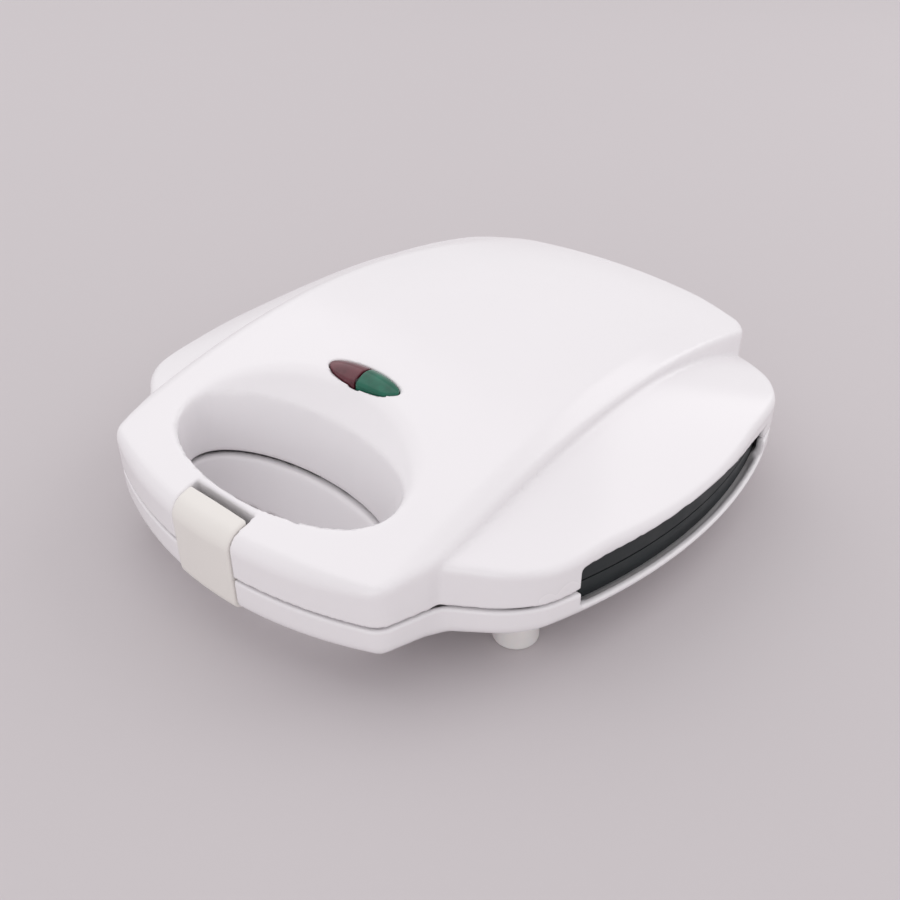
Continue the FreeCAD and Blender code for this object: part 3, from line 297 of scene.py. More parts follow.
def base_form(x, y, z, inset=0.0):
    bottom = -BASE_DEPTH + x * x / (2 * BASE_R[0]) + (y - BASE_MID) ** 2 / (2 * BASE_R[1])
    plan = round_min(band_plan(x, y), shoulder_plan(x, y), BASE_CREASE) + inset
    bowl = round_max(plan, bottom - z + inset, BASE_ROUND)
    belly = box_plan(x, y, BELLY[0], BELLY[1], BELLY[2], BELLY_CORNER) + inset
    belly = round_max(belly, -BELLY[3] - z + inset, BELLY_ROUND)
    return round_min(bowl, belly, BELLY_ROUND)


print("bowl", BASE_DEPTH, "mm and belly", BELLY[3], "mm below the groove")

# %% [markdown]
# ## The finger hole
# Fingers come up through a long oval. Its front edge is upright. The rear wall
# leans back and ends in a soft bevel, so that knuckles don't meet an edge, and
# in the base the hole narrows again. The distance to an oval has no simple
# formula, so its equation is divided by its slope, which is exact at the edge.

# %% The hole's wall
HOLE_FRONT = 14.4
HOLE_HALF_W = 47.5
HOLE_LEN = 41.0
HOLE_LEAN = (5.0, 10.0, 36.0)    # outwards and backwards, over this rise
HOLE_TUCK = (4.0, 14.0, 18.0)    # in the base: inwards and forwards, over this drop
BEVEL_FROM = 24.0
BEVEL = (6.0, 7.0, 10.0)         # outwards and backwards, over this rise
OVAL_SLOPE_MIN = 0.02            # keeps the distance finite in the oval's middle


def oval(x, y, half_w, length, front):
    """Distance to a long oval, given the place of its front edge."""
    b = length / 2
    c = front + b
    f = (x / half_w) ** 2 + ((y - c) / b) ** 2 - 1
    slope = 2 * np.hypot(x / half_w ** 2, (y - c) / b ** 2)
    return f / np.maximum(slope, OVAL_SLOPE_MIN)


def finger_hole(x, y, z, grow=0.0):
    """Negative in the hole; grow widens it, to leave a wall around it."""
    up = np.maximum(z, 0) / HOLE_LEAN[2]
    down = np.maximum(-z, 0) / HOLE_TUCK[2]
    bevel = np.maximum(z - BEVEL_FROM, 0) / BEVEL[2]
    half_w = HOLE_HALF_W + HOLE_LEAN[0] * up + BEVEL[0] * bevel - HOLE_TUCK[0] * down
    length = HOLE_LEN + HOLE_LEAN[1] * up + BEVEL[1] * bevel - HOLE_TUCK[1] * down
    return oval(x, y, half_w, length, HOLE_FRONT) - grow


print("finger hole", 2 * HOLE_HALF_W, "by", HOLE_LEN, "mm at the groove")

# %% [markdown]
# ## From field to mesh
# The field is sampled on a grid of planes, closer together where small details
# are. Each grid cell that the surface passes through gets one point, and
# neighbouring points are joined into quads, which is known as surface nets.
# Marching cubes would work too, but it leaves thin triangles that shade badly.

# %% The grid and the field's slope
def planes(spans):
    """Grid lines from (start, end, spacing) stretches."""
    lines = [np.linspace(a, b, max(2, round((b - a) / step) + 1))[:-1] for a, b, step in spans]
    return np.append(np.concatenate(lines), spans[-1][1])


def field_slope(field, p, h=0.05):
    """The field at each point, and its gradient by central differences."""
    x, y, z = p.T
    g = np.stack([field(x + h, y, z) - field(x - h, y, z),
                  field(x, y + h, z) - field(x, y - h, z),
                  field(x, y, z + h) - field(x, y, z - h)], 1) / (2 * h)
    return field(x, y, z), g


print("a 10 mm stretch every 2 mm:", planes([(0, 10, 2)]).tolist())

# %% [markdown]
# ## One point in each cell
# A grid edge whose two ends have opposite signs crosses the surface, and a
# straight line between the two values says where. The cell's point is the mean
# of the crossings on its twelve edges.

# %% Points
def cell_points(value, axes):
    """One point for each cell that the surface crosses: the mean of its edge crossings."""
    n = [len(a) - 1 for a in axes]
    total = np.zeros(n + [3])
    count = np.zeros(n)
    for axis in range(3):
        low = np.take(value, range(value.shape[axis] - 1), axis)
        high = np.take(value, range(1, value.shape[axis]), axis)
        crossed = (low < 0) != (high < 0)
        t = np.where(crossed, low / np.where(crossed, low - high, 1), 0)
        grids = np.meshgrid(*[a if k != axis else a[:-1] for k, a in enumerate(axes)],
                            indexing="ij", sparse=True)
        step = np.diff(axes[axis]).reshape([-1 if k == axis else 1 for k in range(3)])
        place = [np.broadcast_to(g, crossed.shape) for g in grids]
        place[axis] = place[axis] + t * step
        u, v = [k for k in range(3) if k != axis]
        for i in (0, 1):
            for j in (0, 1):
                pick = [slice(None)] * 3
                pick[u] = slice(i, n[u] + i)
                pick[v] = slice(j, n[v] + j)
                hit = crossed[tuple(pick)]
                count += hit
                for k in range(3):
                    total[..., k] += np.where(hit, place[k][tuple(pick)], 0)
    active = count > 0
    return active, total[active] / count[active][:, None]


# %% [markdown]
# ## Quads between the points
# Four cells meet around each grid edge. Where the edge crosses the surface,
# their four points make one quad, turned so that it faces outwards.

# %% Quads
def cell_quads(value, active):
    """A quad round each grid edge that crosses the surface."""
    index = np.full(active.shape, -1)
    index[active] = np.arange(active.sum())
    quads = []
    for axis in range(3):
        u, v = (axis + 1) % 3, (axis + 2) % 3
        low = np.take(value, range(value.shape[axis] - 1), axis)
        high = np.take(value, range(1, value.shape[axis]), axis)
        inner = [slice(None)] * 3
        inner[u] = slice(1, -1)
        inner[v] = slice(1, -1)
        low, high = low[tuple(inner)], high[tuple(inner)]
        for outward in (True, False):
            hit = (low < 0) & (high >= 0) if outward else (low >= 0) & (high < 0)
            at = np.argwhere(hit)
            corners = []
            for du, dv in ((0, 0), (1, 0), (1, 1), (0, 1)):
                cell = at.copy()
                cell[:, u] += du
                cell[:, v] += dv
                corners.append(index[tuple(cell.T)])
            quad = np.stack(corners, 1)
            quads.append(quad if outward else quad[:, ::-1])
    return np.concatenate(quads)


# %% [markdown]
# ## The finished net
# The points are slid along the field's slope a few times, until they sit on the
# surface itself. That makes the mesh smooth even though the grid is coarse. No
# slide may go further than part of a cell, or quads would fold over.

# %% Surface nets
SETTLE = 4               # number of slides
SLIDE = 0.6              # the longest one, as a share of the smallest cell
FLAT = 0.25              # a squared slope under this counts as this
TINY = 1e-9


def net(name, field, x_spans, y_spans, z_spans):
    """A smooth mesh object of the surface where the field is zero."""
    axes = [planes(s) for s in (x_spans, y_spans, z_spans)]
    grid = np.meshgrid(*axes, indexing="ij", sparse=True)
    value = field(*grid) + np.zeros([len(a) for a in axes])
    active, points = cell_points(value, axes)
    quads = cell_quads(value, active)
    limit = SLIDE * min(np.diff(a).min() for a in axes)
    for _ in range(SETTLE):
        f, g = field_slope(field, points)
        step = -(f / np.maximum((g * g).sum(1), FLAT))[:, None] * g
        length = np.linalg.norm(step, axis=1, keepdims=True)
        points = points + step * np.minimum(1, limit / np.maximum(length, TINY))
    mesh = bpy.data.meshes.new(name)
    mesh.from_pydata(to_frame(points).tolist(), [], quads.tolist())
    mesh.validate()
    mesh.shade_smooth()
    piece = bpy.data.objects.new(name, mesh)
    bpy.context.scene.collection.objects.link(piece)
    print(name, len(mesh.vertices), "points,", len(mesh.polygons), "quads")
    return piece


# %% [markdown]
# ## What is cut out of the shells
# Both shells share three cut-outs: the finger hole, a pocket in the handle for
# the clip, and a long opening on each side that shows the plates' dark rims.
# The lid also has an oval for the lenses. Each is a field of its own.

# %% Cut-outs of the shells
WALL = 3.2
HOLE_WALL = 4.0
UPPER_RIM = 0.4                      # edges along the groove
LOWER_RIM = 0.8
NOTCH_HALF_W = 14.8
NOTCH_BACK = 12.6
NOTCH_WALL = 3.0
NOTCH_CORNER = 0.6
NOTCH_EDGE = 0.5
WINDOW = (70.0, 186.0)
WINDOW_TOP = (9.0, 6.0)              # from its middle forwards, and at its rear end
WINDOW_FALL = (130, 56)              # it falls behind here, over this length
WINDOW_BOTTOM = -6.5
WINDOW_CORNER = 1.5
WINDOW_EDGE = 0.5
BEYOND = 20                          # taller than the opening, up or down
LEDGE = 2.0                          # the base's thinner wall below the opening
WINDOW_IN = 92.0
LENS_BACK = 77.0
LENS_HALF_L = 17.2
LENS_HALF_W = 5.1
LENS_LOW = 20                        # the opening stops here, well inside the lid
LENS_EDGE = 0.4


def side_window(x, y, z, low, high):
    """The long opening on both sides that shows the plates."""
    span = np.maximum(WINDOW[0] - y, y - WINDOW[1])
    tall = np.maximum(low - z, z - high)
    return round_max(round_max(span, tall, WINDOW_CORNER), WINDOW_IN - np.abs(x), WINDOW_EDGE)


def notch(x, y, back, grow=0.0):
    """The clip's pocket, open to the front."""
    return round_max(np.abs(x) - NOTCH_HALF_W - grow, y - back - grow, NOTCH_CORNER)


def lens_opening(x, y, z):
    """The oval in the crown that the two lenses fill."""
    across = oval(x, y, LENS_HALF_L, 2 * LENS_HALF_W, LENS_BACK - LENS_HALF_W)
    return np.maximum(across, LENS_LOW - z)


print("side openings", WINDOW[1] - WINDOW[0], "mm long, notch", 2 * NOTCH_HALF_W, "mm wide")

# %% [markdown]
# ## The upper shell
# One moulding: the crowned form, hollowed to an even wall, cut off at the
# groove, and cut through by all four openings. Every cut leaves a small round,
# because a mould's edge does, and the round is what catches the light.

# %% The upper shell's field
HOLE_LIP = (0.8, 1.6)                # round of the hole's edge in front, and added behind
HOLE_LIP_SOFTER = (18, 25)           # it is added from here, over this length


def upper_shell(x, y, z):
    form = round_max(lid_form(x, y, z), GROOVE / 2 - z, UPPER_RIM)
    hollow = np.maximum(lid_form(x, y, z, WALL), -finger_hole(x, y, z, HOLE_WALL))
    hollow = np.maximum(hollow, -notch(x, y, NOTCH_BACK, NOTCH_WALL))
    shell = round_max(form, -hollow, UPPER_RIM)
    lip = HOLE_LIP[0] + HOLE_LIP[1] * ease((y - HOLE_LIP_SOFTER[0]) / HOLE_LIP_SOFTER[1])
    shell = round_max(shell, -finger_hole(x, y, z), lip)
    shell = round_max(shell, -notch(x, y, NOTCH_BACK), NOTCH_EDGE)
    shell = round_max(shell, -lens_opening(x, y, z), LENS_EDGE)
    falls = ease((y - WINDOW_FALL[0]) / WINDOW_FALL[1])
    top = WINDOW_TOP[0] + (WINDOW_TOP[1] - WINDOW_TOP[0]) * falls
    return round_max(shell, -side_window(x, y, z, -BEYOND, top), WINDOW_EDGE)


# stretches of the grid: start, end and spacing
EDGE_X = [(-116, -96, 1.0), (-96, -18, 1.5), (-18, 18, 0.75), (18, 96, 1.5), (96, 116, 1.0)]
EDGE_Y = [(-4, 17, 0.9), (17, 69, 1.5), (69, 85, 0.7), (85, 242, 1.5)]
upper_skin = net("upper_shell_skin", upper_shell, EDGE_X, EDGE_Y,
                 [(-2, 13, 0.7), (13, 46, 1.4)])
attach(upper_skin, "lid")
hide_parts("upper_housing")

# %% [markdown]
# ## The lower shell
# The base is cut from its bowl in the same way. The finger hole narrows on its
# way down. Four round bosses run down to the feet, and a hole in the rear wall
# holds the rubber bush for the mains lead.

# %% The base's field
RECESS_BACK = 4.2
BASE_LIP = 1.0                       # round of the hole's edge in the base
LEDGE_EDGE = 0.8
LEDGE_FADE = (1, 3)                  # the wall thins this far into the opening, over this length
BOSS_R = 8.0
BOSS_LOW = -15.0
BOSS_HIGH = -9.0
BOSS_X = 81.6
BOSS_Y = (64.0, 187.0)
BOSS_EDGE = 0.5
BOSS_FILLET = 1.2
INLET_UP = -7.6
INLET_R = (4.5, 5.9)                 # through the wall, and behind it for the flange
INLET_FLANGE_AT = 235.7
INLET_FROM = 225
INLET_EDGE = 0.3


def boss(x, y, z):
    """The four posts that the feet are screwed to."""
    mid = sum(BOSS_Y) / 2
    half = (BOSS_Y[1] - BOSS_Y[0]) / 2
    post = np.hypot(np.abs(x) - BOSS_X, np.abs(y - mid) - half) - BOSS_R
    return np.maximum(round_max(post, BOSS_LOW - z, BOSS_EDGE), z - BOSS_HIGH)


def inlet(x, y, z):
    """The hole for the bush, wider inside the wall."""
    r = np.hypot(x, z - INLET_UP)
    hole = r - np.where(y < INLET_FLANGE_AT, INLET_R[1], INLET_R[0])
    return np.maximum(hole, INLET_FROM - y)


def lower_shell(x, y, z):
    form = round_max(base_form(x, y, z), z + GROOVE / 2, LOWER_RIM)
    starts = ease((y - WINDOW[0] - LEDGE_FADE[0]) / LEDGE_FADE[1])
    in_window = starts * ease((WINDOW[1] - LEDGE_FADE[0] - y) / LEDGE_FADE[1])
    wall = WALL + (LEDGE - WALL) * in_window * (np.abs(x) > WINDOW_IN)
    hollow = np.maximum(base_form(x, y, z, wall), -finger_hole(x, y, z, HOLE_WALL))
    hollow = np.maximum(hollow, -notch(x, y, RECESS_BACK, NOTCH_WALL))
    shell = round_max(form, -hollow, LOWER_RIM)
    shell = round_min(shell, boss(x, y, z), BOSS_FILLET)
    shell = round_max(shell, -finger_hole(x, y, z), BASE_LIP)
    shell = round_max(shell, -notch(x, y, RECESS_BACK), NOTCH_EDGE)
    shell = round_max(shell, -inlet(x, y, z), INLET_EDGE)
    return round_max(shell, -side_window(x, y, z, WINDOW_BOTTOM, BEYOND), LEDGE_EDGE)


lower_skin = net("lower_shell_skin", lower_shell, EDGE_X, EDGE_Y,
                 [(-26, -7, 1.4), (-7, 1, 0.6)])
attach(lower_skin, "base")
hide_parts("lower_housing")

# %% [markdown]
# ## The hinge
# Towards each side of the rear wall, a knuckle on the lid turns between two ears
# on the base, on a steel pin. They are part of the shells' mouldings, in the
# same plastic. They are meshed on their own, because they need a finer grid.

# %% Knuckles and ears
KNUCKLE_R = 4.0
KNUCKLE_EDGE = 0.5
PIN_HOLE_R = 2.1
EARS = ((28.0, 34.0), (50.8, 56.8))
KNUCKLES = ((34.4, 50.4),)
WEB_FROM = 234.6                     # the web reaches from the rear wall to the ring
WEB_H = 6.4


def hinge_part(spans, side):
    """Rounded blocks on the pin's line; side is 1 for the lid and -1 for the base."""
    def field(x, y, z):
        ring = np.hypot(y - HINGE_BACK, z) - KNUCKLE_R
        web = np.maximum(WEB_FROM - y, y - HINGE_BACK)
        web = np.maximum(web, np.maximum(GROOVE / 2 - z * side, z * side - WEB_H))
        body = round_min(ring, web, KNUCKLE_EDGE)
        body = np.maximum(body, PIN_HOLE_R - np.hypot(y - HINGE_BACK, z))
        across = np.minimum.reduce([np.abs(np.abs(x) - (a + b) / 2) - (b - a) / 2
                                    for a, b in spans])
        return round_max(body, across, KNUCKLE_EDGE)
    return field


HINGE_X = [(-59, -26, 0.7), (-26, 26, 13), (26, 59, 0.7)]
HINGE_Y = [(233, 249, 0.5)]
for name, spans, side, body, node in (
        ("lid_knuckles", KNUCKLES, 1, "lid", "upper_housing"),
        ("base_ears", EARS, -1, "base", "lower_housing")):
    low, high = (-5, 8) if side > 0 else (-8, 5)
    hinge = net(name, hinge_part(spans, side), HINGE_X, HINGE_Y, [(low, high, 0.5)])
    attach(hinge, body)
    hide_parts(node)

# %% [markdown]
# ## The clip
# The clip is one C-shaped moulding. Its face carries on the round of the
# handle's front, and it runs down over the base. Taking it from the shells'
# own forms, a little grown, keeps that line exact.

# %% The clip's field
CLIP_HALF_W = 14.35
CLIP_T = 2.8
CLIP_PROUD = 0.5
CLIP_EDGE = 0.6
CLIP_SIDE_EDGE = 0.8
CLIP_TOP_BACK = 9.2
CLIP_FOOT_BACK = 3.8
CLIP_FOOT = -14.0
CLIP_FOOT_R = 4.0


def clip(x, y, z):
    front = np.hypot(x, y - FRONT_BOW_R) - FRONT_BOW_R
    skin = round_max(front, z - band_top(x, y), HANDLE_ROUND)
    skin = round_max(skin, CLIP_FOOT - z, CLIP_FOOT_R) - CLIP_PROUD
    body = round_max(skin, -(skin + CLIP_T), CLIP_EDGE)
    body = round_max(body, np.abs(x) - CLIP_HALF_W, CLIP_SIDE_EDGE)
    return round_max(body, y - np.where(z < 0, CLIP_FOOT_BACK, CLIP_TOP_BACK), CLIP_EDGE)


clip_skin = net("latch_skin", clip, [(-17, 17, 0.6)], [(-3, 11, 0.5)], [(-17, 24, 0.6)])
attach(clip_skin, "latch")
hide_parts("latch")

# %% [markdown]
# ## The indicator lenses
# A long oval in the crown is split across its middle: red on the left, green on
# the right. Each half is a shallow dome, so it stands a little proud and picks
# up a small highlight.

# %% The two lenses
DOME_HALF_L = 16.8
DOME_HALF_W = 4.7
DOME_H = 1.9
DOME_T = 3.0
DOME_EDGES = (0.4, 0.3)  # around the top, and around the underside
DOME_STOP = 1.5          # the dome's curve runs on this far past its edge
DIVIDER = 0.45           # each half stops this far from the middle
DIVIDER_EDGE = 0.25


def lens_half(side):
    """One half of the dome; side is -1 for the left half."""
    def field(x, y, z):
        skin = band_top(x, y)
        spread = (x / DOME_HALF_L) ** 2 + ((y - LENS_BACK) / DOME_HALF_W) ** 2
        dome = z - skin - DOME_H * (1 - np.minimum(spread, DOME_STOP))
        edge = oval(x, y, DOME_HALF_L, 2 * DOME_HALF_W, LENS_BACK - DOME_HALF_W)
        body = round_max(dome, edge, DOME_EDGES[0])
        body = round_max(body, skin - DOME_T - z, DOME_EDGES[1])
        return round_max(body, DIVIDER - x * side, DIVIDER_EDGE)
    return field


for name, side, node, tint in (("red_lens_dome", -1, "red_lens", "lens_red"),
                               ("green_lens_dome", 1, "green_lens", "lens_green")):
    dome = net(name, lens_half(side), [(-18, 18, 0.35)], [(71, 83, 0.35)], [(29, 40, 0.35)])
    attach(dome, "lid")
    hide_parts(node)

# %% [markdown]
# ## The lamp holder
# Behind the lenses sits a block with an ear at each end. It follows the slope
# of the crown, and a thin rib on it keeps the red light out of the green half.

# %% The holder's field
# half width, half length, and how far below the crown the top and bottom lie
HOLDER_BLOCK = (18.0, 8.5, 3.6, 12.6)
HOLDER_EARS = (27.0, 4.0, 7.6, 9.6)
HOLDER_RIB = (0.3, 4.0, -0.9, 5.0)
HOLDER_EDGE = 0.4
CROWN_SLOPE = (CROWN_AT - LENS_BACK) / CROWN_R


def slab(x, y, depth, half_x, half_y, top, low):
    """A box under the crown, leaning with it."""
    across = np.maximum(np.abs(x) - half_x, np.abs(y - LENS_BACK) - half_y)
    return round_max(across, np.maximum(top - depth, depth - low), HOLDER_EDGE)


def holder(x, y, z):
    depth = CROWN - (CROWN_AT - LENS_BACK) ** 2 / (2 * CROWN_R) + CROWN_SLOPE * (y - LENS_BACK) - z
    body = np.minimum(slab(x, y, depth, *HOLDER_BLOCK), slab(x, y, depth, *HOLDER_EARS))
    return np.minimum(body, slab(x, y, depth, *HOLDER_RIB))


holder_block = net("lamp_holder_block", holder, [(-28, -2, 1.0), (-2, 2, 0.2), (2, 28, 1.0)],
                   [(67, 87, 0.8)], [(18, 40, 0.6)])
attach(holder_block, "lid")
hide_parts("lamp_holder")

# %% [markdown]
# ## Colours and nodes
# Colours are written as the eye reads them, in sRGB hex, and turned to linear
# light by one function. Another adds a shader node with its settings and links.

# %% Colour and node helpers
def linear(code):
    """An sRGB hex colour as linear RGBA."""
    parts = [int(code[i:i + 2], 16) / 255 for i in (1, 3, 5)]
    return [c / 12.92 if c <= 0.04045 else ((c + 0.055) / 1.055) ** 2.4 for c in parts] + [1.0]


def add(tree, kind, sockets=None, **settings):
    """A new node; each socket gets a value, or a link from another node's output."""
    node = tree.nodes.new(kind)
    for name, value in settings.items():
        setattr(node, name, value)
    for name, value in (sockets or {}).items():
        if isinstance(value, bpy.types.NodeSocket):
            tree.links.new(value, node.inputs[name])
        else:
            node.inputs[name].default_value = value
    return node


def per_mm(size):
    """A texture scale for a pattern whose cells are this many millimetres."""
    return 1 / (size * MM)


print("middle grey #808080 is", round(linear("#808080")[0], 3), "in linear light")

# %% [markdown]
# ## One recipe for most surfaces
# No moulding, casting or rolled sheet is one flat colour. Its colour and gloss
# wander over centimetres with how it cooled or was handled, and a fine grain
# from the tool breaks up its highlights. The recipe takes two close colours, a
# range of roughness, the size of the slow wander, and the size and depth of the
# grain, all in millimetres. Stretching the pattern makes the streaks that
# rolling or drawing leaves.

# %% The recipe
NOISE_SPREAD = (0.3, 0.7)            # nearly all values of the noise lie between these


def finish(name, dark, light, rough, mottle_mm, grain_mm, depth_mm, fixed, stretch=(1, 1, 1)):
    """A surface whose colour and gloss wander a little; fixed holds its other settings."""
    made = bpy.data.materials.new(name)
    made.use_nodes = True
    tree = made.node_tree
    tree.nodes.clear()
    place = add(tree, "ShaderNodeTexCoord").outputs["Object"]
    grid = add(tree, "ShaderNodeMapping", {"Vector": place, "Scale": stretch}).outputs["Vector"]
    mottle = add(tree, "ShaderNodeTexNoise", {"Vector": grid, "Scale": per_mm(mottle_mm),
                                              "Detail": 3.0}).outputs["Fac"]
    colour = add(tree, "ShaderNodeMix", {"Factor": mottle, "A": linear(dark), "B": linear(light)},
                 data_type="RGBA")
    gloss = add(tree, "ShaderNodeMapRange",
                {"Value": mottle, "From Min": NOISE_SPREAD[0], "From Max": NOISE_SPREAD[1],
                 "To Min": rough[0], "To Max": rough[1]}, clamp=False)
    grain = add(tree, "ShaderNodeTexNoise", {"Vector": grid, "Scale": per_mm(grain_mm),
                                             "Detail": 2.0})
    bump = add(tree, "ShaderNodeBump", {"Height": grain.outputs["Fac"], "Strength": 1.0,
                                        "Distance": depth_mm * MM})
    shader = add(tree, "ShaderNodeBsdfPrincipled",
                 {"Base Color": colour.outputs["Result"], "Roughness": gloss.outputs["Result"],
                  "Normal": bump.outputs["Normal"]} | fixed)
    add(tree, "ShaderNodeOutputMaterial", {"Surface": shader.outputs["BSDF"]})
    return made


def paint(material, *names):
    """Give a finish to pieces and CAD nodes, by name."""
    for name in names:
        thing = NODES[name] if name in NODES else bpy.data.objects[name]
        thing.data.materials.clear()
        thing.data.materials.append(material)
    print(material.name, "->", ", ".join(names))


ABS = {"IOR": 1.53}
METAL = {"Metallic": 1.0}
print("ABS bends light by", ABS["IOR"], "and a metal keeps the default")

# %% [markdown]
# ## Shells: glossy white ABS
# Small appliances are moulded in ABS, or in polypropylene where cost matters
# more. ABS takes the polish of a hardened steel mould, so the lid mirrors the
# room softly. Its white comes from titanium dioxide, with a trace of violet to
# hide the resin's yellow. The long slow waves in a polished mould show as a
# highlight that isn't quite even.

# %% White shells
white = finish("glossy_white_abs", "#EFECEE", "#F3F0F2", (0.22, 0.27), 70, 3.0, 0.003, ABS)
paint(white, "upper_shell_skin", "lower_shell_skin", "lid_knuckles", "base_ears",
      "upper_housing", "lower_housing")

# %% [markdown]
# ## Clip: satin ABS
# The clip bends each time it is used, so it is a tougher grade with a little
# more rubber in it. That gives a creamier white, and its mould was left with a
# fine matt grain that hides fingernail marks.

# %% Cream clip
cream = finish("satin_clip_abs", "#EAE6E1", "#EEEAE5", (0.36, 0.42), 30, 0.8, 0.005, ABS)
paint(cream, "latch_skin", "latch")

# %% [markdown]
# ## Feet: white polypropylene
# The feet are moulded many at a time in polypropylene. It is waxy and a bit
# translucent, which a little scattering under the surface shows.

# %% Feet
waxy = finish("waxy_polypropylene", "#E2DFDD", "#EAE7E5", (0.42, 0.5), 12, 0.7, 0.008,
              {"IOR": 1.49, "Subsurface Weight": 0.1, "Subsurface Scale": 0.002})
paint(waxy, "foot_front_left", "foot_front_right", "foot_rear_left", "foot_rear_right")

# %% [markdown]
# ## Plates: non-stick coating on cast aluminium
# The plates are die-cast, blasted, and sprayed with a dark fluoropolymer. The
# blasting leaves a fine pebble, and the spray lies a few hundredths of a
# millimetre thick, so the coat is half matt with a soft sheen.

# %% Non-stick plates
coat = finish("nonstick_fluoropolymer", "#202425", "#2B3032", (0.40, 0.55), 9, 0.5, 0.02,
              {"IOR": 1.38})
paint(coat, "lower_cooking_plate", "upper_cooking_plate")

# %% [markdown]
# ## Indicator lenses: tinted acrylic
# The two half-oval lenses are clear acrylic dyed deep red and deep green, and
# they look almost black until a lamp behind them is lit. Here each lens's
# colour runs in random patches from that dark dye to a much lighter tint, which
# is painted sheen: the reflection that lightens the domes, put into their
# colour. Acrylic polishes well, so each dome carries one small sharp highlight.

# %% Red and green lenses
ACRYLIC = {"IOR": 1.49}
# first colour of each pair is the dye; the second, much lighter one is painted sheen, a reflection
# put into the colour
red = finish("red_acrylic_painted_sheen", "#3C141C", "#7A3843", (0.10, 0.14), 5, 1.5, 0.004, ACRYLIC)
green = finish("green_acrylic_painted_sheen", "#0A3A2E", "#1A7A60", (0.10, 0.14), 5, 1.5, 0.004, ACRYLIC)
paint(red, "red_lens_dome", "red_lens")
paint(green, "green_lens_dome", "green_lens")

# %% [markdown]
# ## Lamps: soda-lime glass
# The lamps are neon tubes no longer than a fingernail, drawn from soda-lime
# glass with walls too thin to tint what is behind them.

# %% Lamp glass
glass = finish("soda_lime_glass", "#F3F5F2", "#FBFCFA", (0.02, 0.05), 4, 1.0, 0.003,
               {"IOR": 1.52, "Transmission Weight": 1.0})
paint(glass, "red_lamp", "green_lamp")

# %% [markdown]
# ## Lamp holder: black phenolic
# Phenolic resin keeps its shape beside a hot plate. It is pressed from powder,
# which leaves a faint brown-black cloud in it and a dull skin.

# %% Lamp holder
phenolic = finish("black_phenolic", "#161514", "#211F1D", (0.45, 0.58), 5, 0.5, 0.01,
                  {"IOR": 1.6})
paint(phenolic, "lamp_holder_block", "lamp_holder")

# %% [markdown]
# ## Heaters: heat-darkened sheath
# A tubular heater is a steel tube packed with magnesia round a coil. Its first
# hours of use leave an oxide that runs from grey through straw to brown, so
# the two colours here are further apart than usual.

# %% Heaters
sheath = finish("heat_darkened_steel", "#4E4740", "#7A7166", (0.45, 0.62), 14, 0.8, 0.01, METAL)
paint(sheath, "lower_heating_element", "upper_heating_element")

# %% [markdown]
# ## Bars and case: rolled and plated steel
# The bars that press the heaters to the plates are cut from rolled strip, with
# its streaks running along them. The thermostat's case is drawn from the same
# sheet and nickel plated, which is smoother and a little warmer.

# %% Rolled strip and nickel plate
strip = finish("rolled_spring_steel", "#9FA1A3", "#BDBFC1", (0.30, 0.42), 4, 0.4, 0.006,
               METAL, stretch=(0.08, 1, 1))
nickel = finish("nickel_plated_steel", "#B3AFA8", "#C3BFB8", (0.20, 0.30), 6, 0.8, 0.003, METAL)
paint(strip, "lower_heater_bars", "upper_heater_bars")
paint(nickel, "thermostat")

# %% [markdown]
# ## Reflectors: bright aluminium sheet
# A thin pressed pan throws the heat back at the plate. The sheet is cold
# rolled, so its shine is drawn out along one direction.

# %% Reflectors
sheet = finish("bright_aluminium_sheet", "#D0D2D4", "#DFE1E2", (0.16, 0.26), 6, 0.5, 0.004,
               METAL, stretch=(1, 0.06, 1))
paint(sheet, "lower_reflector", "upper_reflector")

# %% [markdown]
# ## Pins: cold-drawn steel
# A pin is pulled through a die, which leaves fine lines along its length and a
# smooth, greyish shine.

# %% Hinge and clip pins
drawn = finish("cold_drawn_steel", "#ADAFB1", "#C2C4C6", (0.22, 0.32), 3, 0.3, 0.003,
               METAL, stretch=(0.05, 1, 1))
paint(drawn, "hinge_pin_left", "hinge_pin_right", "latch_pin")

# %% [markdown]
# ## Screws: zinc plate
# Every screw is tumbled in a zinc bath and passivated. The film is a cool grey
# that catches a slightly cloudy light.

# %% Screws
zinc = finish("zinc_plated_steel", "#B9BDC2", "#CED1D4", (0.24, 0.36), 2, 0.3, 0.004, METAL)
paint(zinc, "lower_plate_screws", "upper_plate_screws", "lower_heater_bar_screws",
      "upper_heater_bar_screws", "lower_reflector_screws", "upper_reflector_screws",
      "foot_screws", "lamp_holder_screws", "cord_clamp_screws", "terminal_screws")

# %% [markdown]
# ## Fuse: tarnished brass
# The thermal fuse has a plain brass can. Bare brass dulls within months, in
# patches where it was touched.

# %% Fuse
brass = finish("tarnished_brass", "#9C7F45", "#C2A25E", (0.26, 0.44), 3, 0.4, 0.004, METAL)
paint(brass, "thermal_fuse")

# %% [markdown]
# ## Terminal block: unglazed steatite
# Steatite is fired soapstone. It is a dry, chalky off-white with small grey
# specks, and it doesn't shine at all.

# %% Terminal block
steatite = finish("unglazed_steatite", "#DAD4C6", "#ECE7DB", (0.75, 0.88), 1.2, 0.25, 0.02,
                  {"IOR": 1.55})
paint(steatite, "terminal_block")

# %% [markdown]
# ## Leads: glass-fibre sleeve
# Inside the hot base the leads wear a braided glass-fibre sleeve soaked in
# silicone. The braid shows as fine bands, about a third of a millimetre apart.

# %% Glass-fibre sleeve
braid = finish("glass_fibre_sleeve", "#CFCBC0", "#E4E1D8", (0.6, 0.75), 0.7, 0.3, 0.05,
               {"IOR": 1.5, "Sheen Weight": 0.3}, stretch=(1, 1, 0.4))
paint(braid, "base_wiring")

# %% [markdown]
# ## Inlet bush and cord clamp: rubber and nylon
# The bush is vulcanised rubber, black with carbon and dull from talc. The clamp
# is plain nylon, left in its own warm off-white, with a greasy half shine.

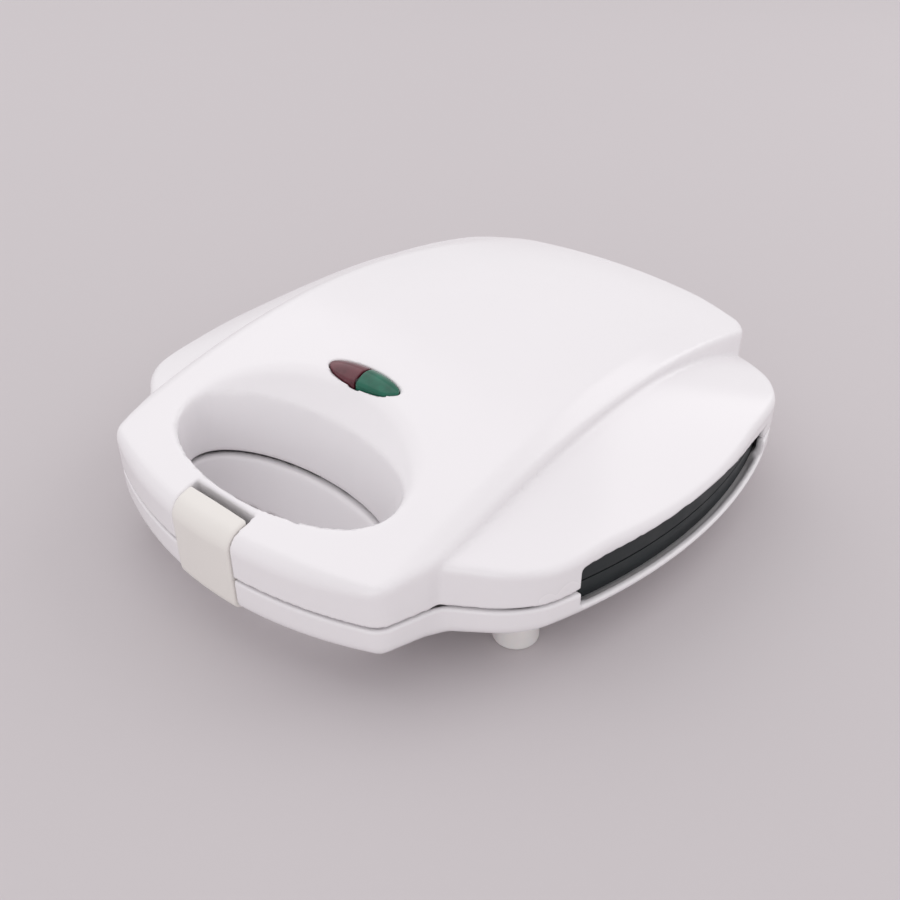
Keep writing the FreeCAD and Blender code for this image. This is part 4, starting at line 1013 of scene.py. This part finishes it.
# %% Bush and clamp
rubber = finish("vulcanised_rubber", "#141516", "#202223", (0.62, 0.78), 3, 0.4, 0.015,
                {"IOR": 1.52})
nylon = finish("natural_nylon", "#D3CFC3", "#DFDBD0", (0.34, 0.44), 8, 0.6, 0.006,
               {"IOR": 1.53, "Subsurface Weight": 0.1, "Subsurface Scale": 0.002})
paint(rubber, "cord_inlet_bush")
paint(nylon, "cord_clamp")

# %% [markdown]
# ## The camera
# The appliance is seen from above its right front corner, turned by about 41
# degrees. The lens is close to a normal one and stands about 42 cm from the
# middle of the object, which is near enough to show some depth.

# %% Camera
SENSOR, FOCAL = 36.0, 42.0
AZIMUTH, ELEVATION = math.radians(41.24), math.radians(34.60)
CAMERA_AT = (234.90, -144.50, 225.94)            # millimetres, in the shells' terms
camera_data = bpy.data.cameras.new("camera")
camera_data.sensor_width = SENSOR
camera_data.lens = FOCAL
camera = bpy.data.objects.new("camera", camera_data)
bpy.context.scene.collection.objects.link(camera)
bpy.context.scene.camera = camera
camera.location = to_frame([CAMERA_AT])[0]
camera.rotation_euler = (math.pi / 2 - ELEVATION, 0, AZIMUTH)
print("camera at", [round(c, 3) for c in camera.location])

# %% [markdown]
# ## Floor and light
# The appliance stands on a sheet of pale grey paper in a light tent, so most of
# the light comes evenly from all round. A large panel behind and to the left
# draws the shadow softly to the front right. A smaller one lights the right
# side, and a weak one low in front opens the shadow under the shells.

# %% The paper floor
FLOOR_HALF = 4           # metres
corners = [(x * FLOOR_HALF, y * FLOOR_HALF, 0) for x, y in ((-1, -1), (1, -1), (1, 1), (-1, 1))]
floor_mesh = bpy.data.meshes.new("floor")
floor_mesh.from_pydata(corners, [], [(0, 1, 2, 3)])
floor = bpy.data.objects.new("floor", floor_mesh)
bpy.context.scene.collection.objects.link(floor)
paper = finish("backdrop_paper", "#C9C3C5", "#CBC5C7", (0.8, 0.9), 300, 2, 0.01, {})
floor.data.materials.append(paper)
print("floor", 2 * FLOOR_HALF, "m square")

# %% [markdown]
# ## Panels and room
# The panels are placed as the camera sees them, to the right, away and up, and
# all of them face the object. A bigger panel gives a softer shadow for the same
# power. The room itself is the world's one pale colour.

# %% Panels and room
ROOM_COLOUR = "#F4F2F4"
ROOM_STRENGTH = 0.86
VIEW = Vector((-math.sin(AZIMUTH), math.cos(AZIMUTH), 0))
RIGHT = Vector((math.cos(AZIMUTH), math.sin(AZIMUTH), 0))
UP = Vector((0, 0, 1))


def panel(name, right, away, up, size, watts):
    """A square soft light, placed as the camera sees it and aimed at the object."""
    data = bpy.data.lights.new(name, "AREA")
    data.shape = "SQUARE"
    data.size = size
    data.energy = watts
    light = bpy.data.objects.new(name, data)
    light.location = RIGHT * right + VIEW * away + UP * up
    light.rotation_euler = (-light.location).to_track_quat("-Z", "Y").to_euler()
    bpy.context.scene.collection.objects.link(light)
    print(name, watts, "W")


panel("back_left_panel", right=-0.7, away=0.7, up=1.2, size=1.6, watts=4.5)
panel("right_panel", right=1.1, away=0.5, up=0.9, size=1.0, watts=3.8)
panel("front_fill", right=-0.3, away=-1.1, up=0.22, size=0.9, watts=2.0)
world = bpy.data.worlds.new("light_tent")
bpy.context.scene.world = world
world.use_nodes = True
room = world.node_tree.nodes["Background"]
room.inputs["Color"].default_value = linear(ROOM_COLOUR)
room.inputs["Strength"].default_value = ROOM_STRENGTH
bpy.context.scene.view_settings.view_transform = "Standard"
bpy.context.scene.view_settings.look = "None"
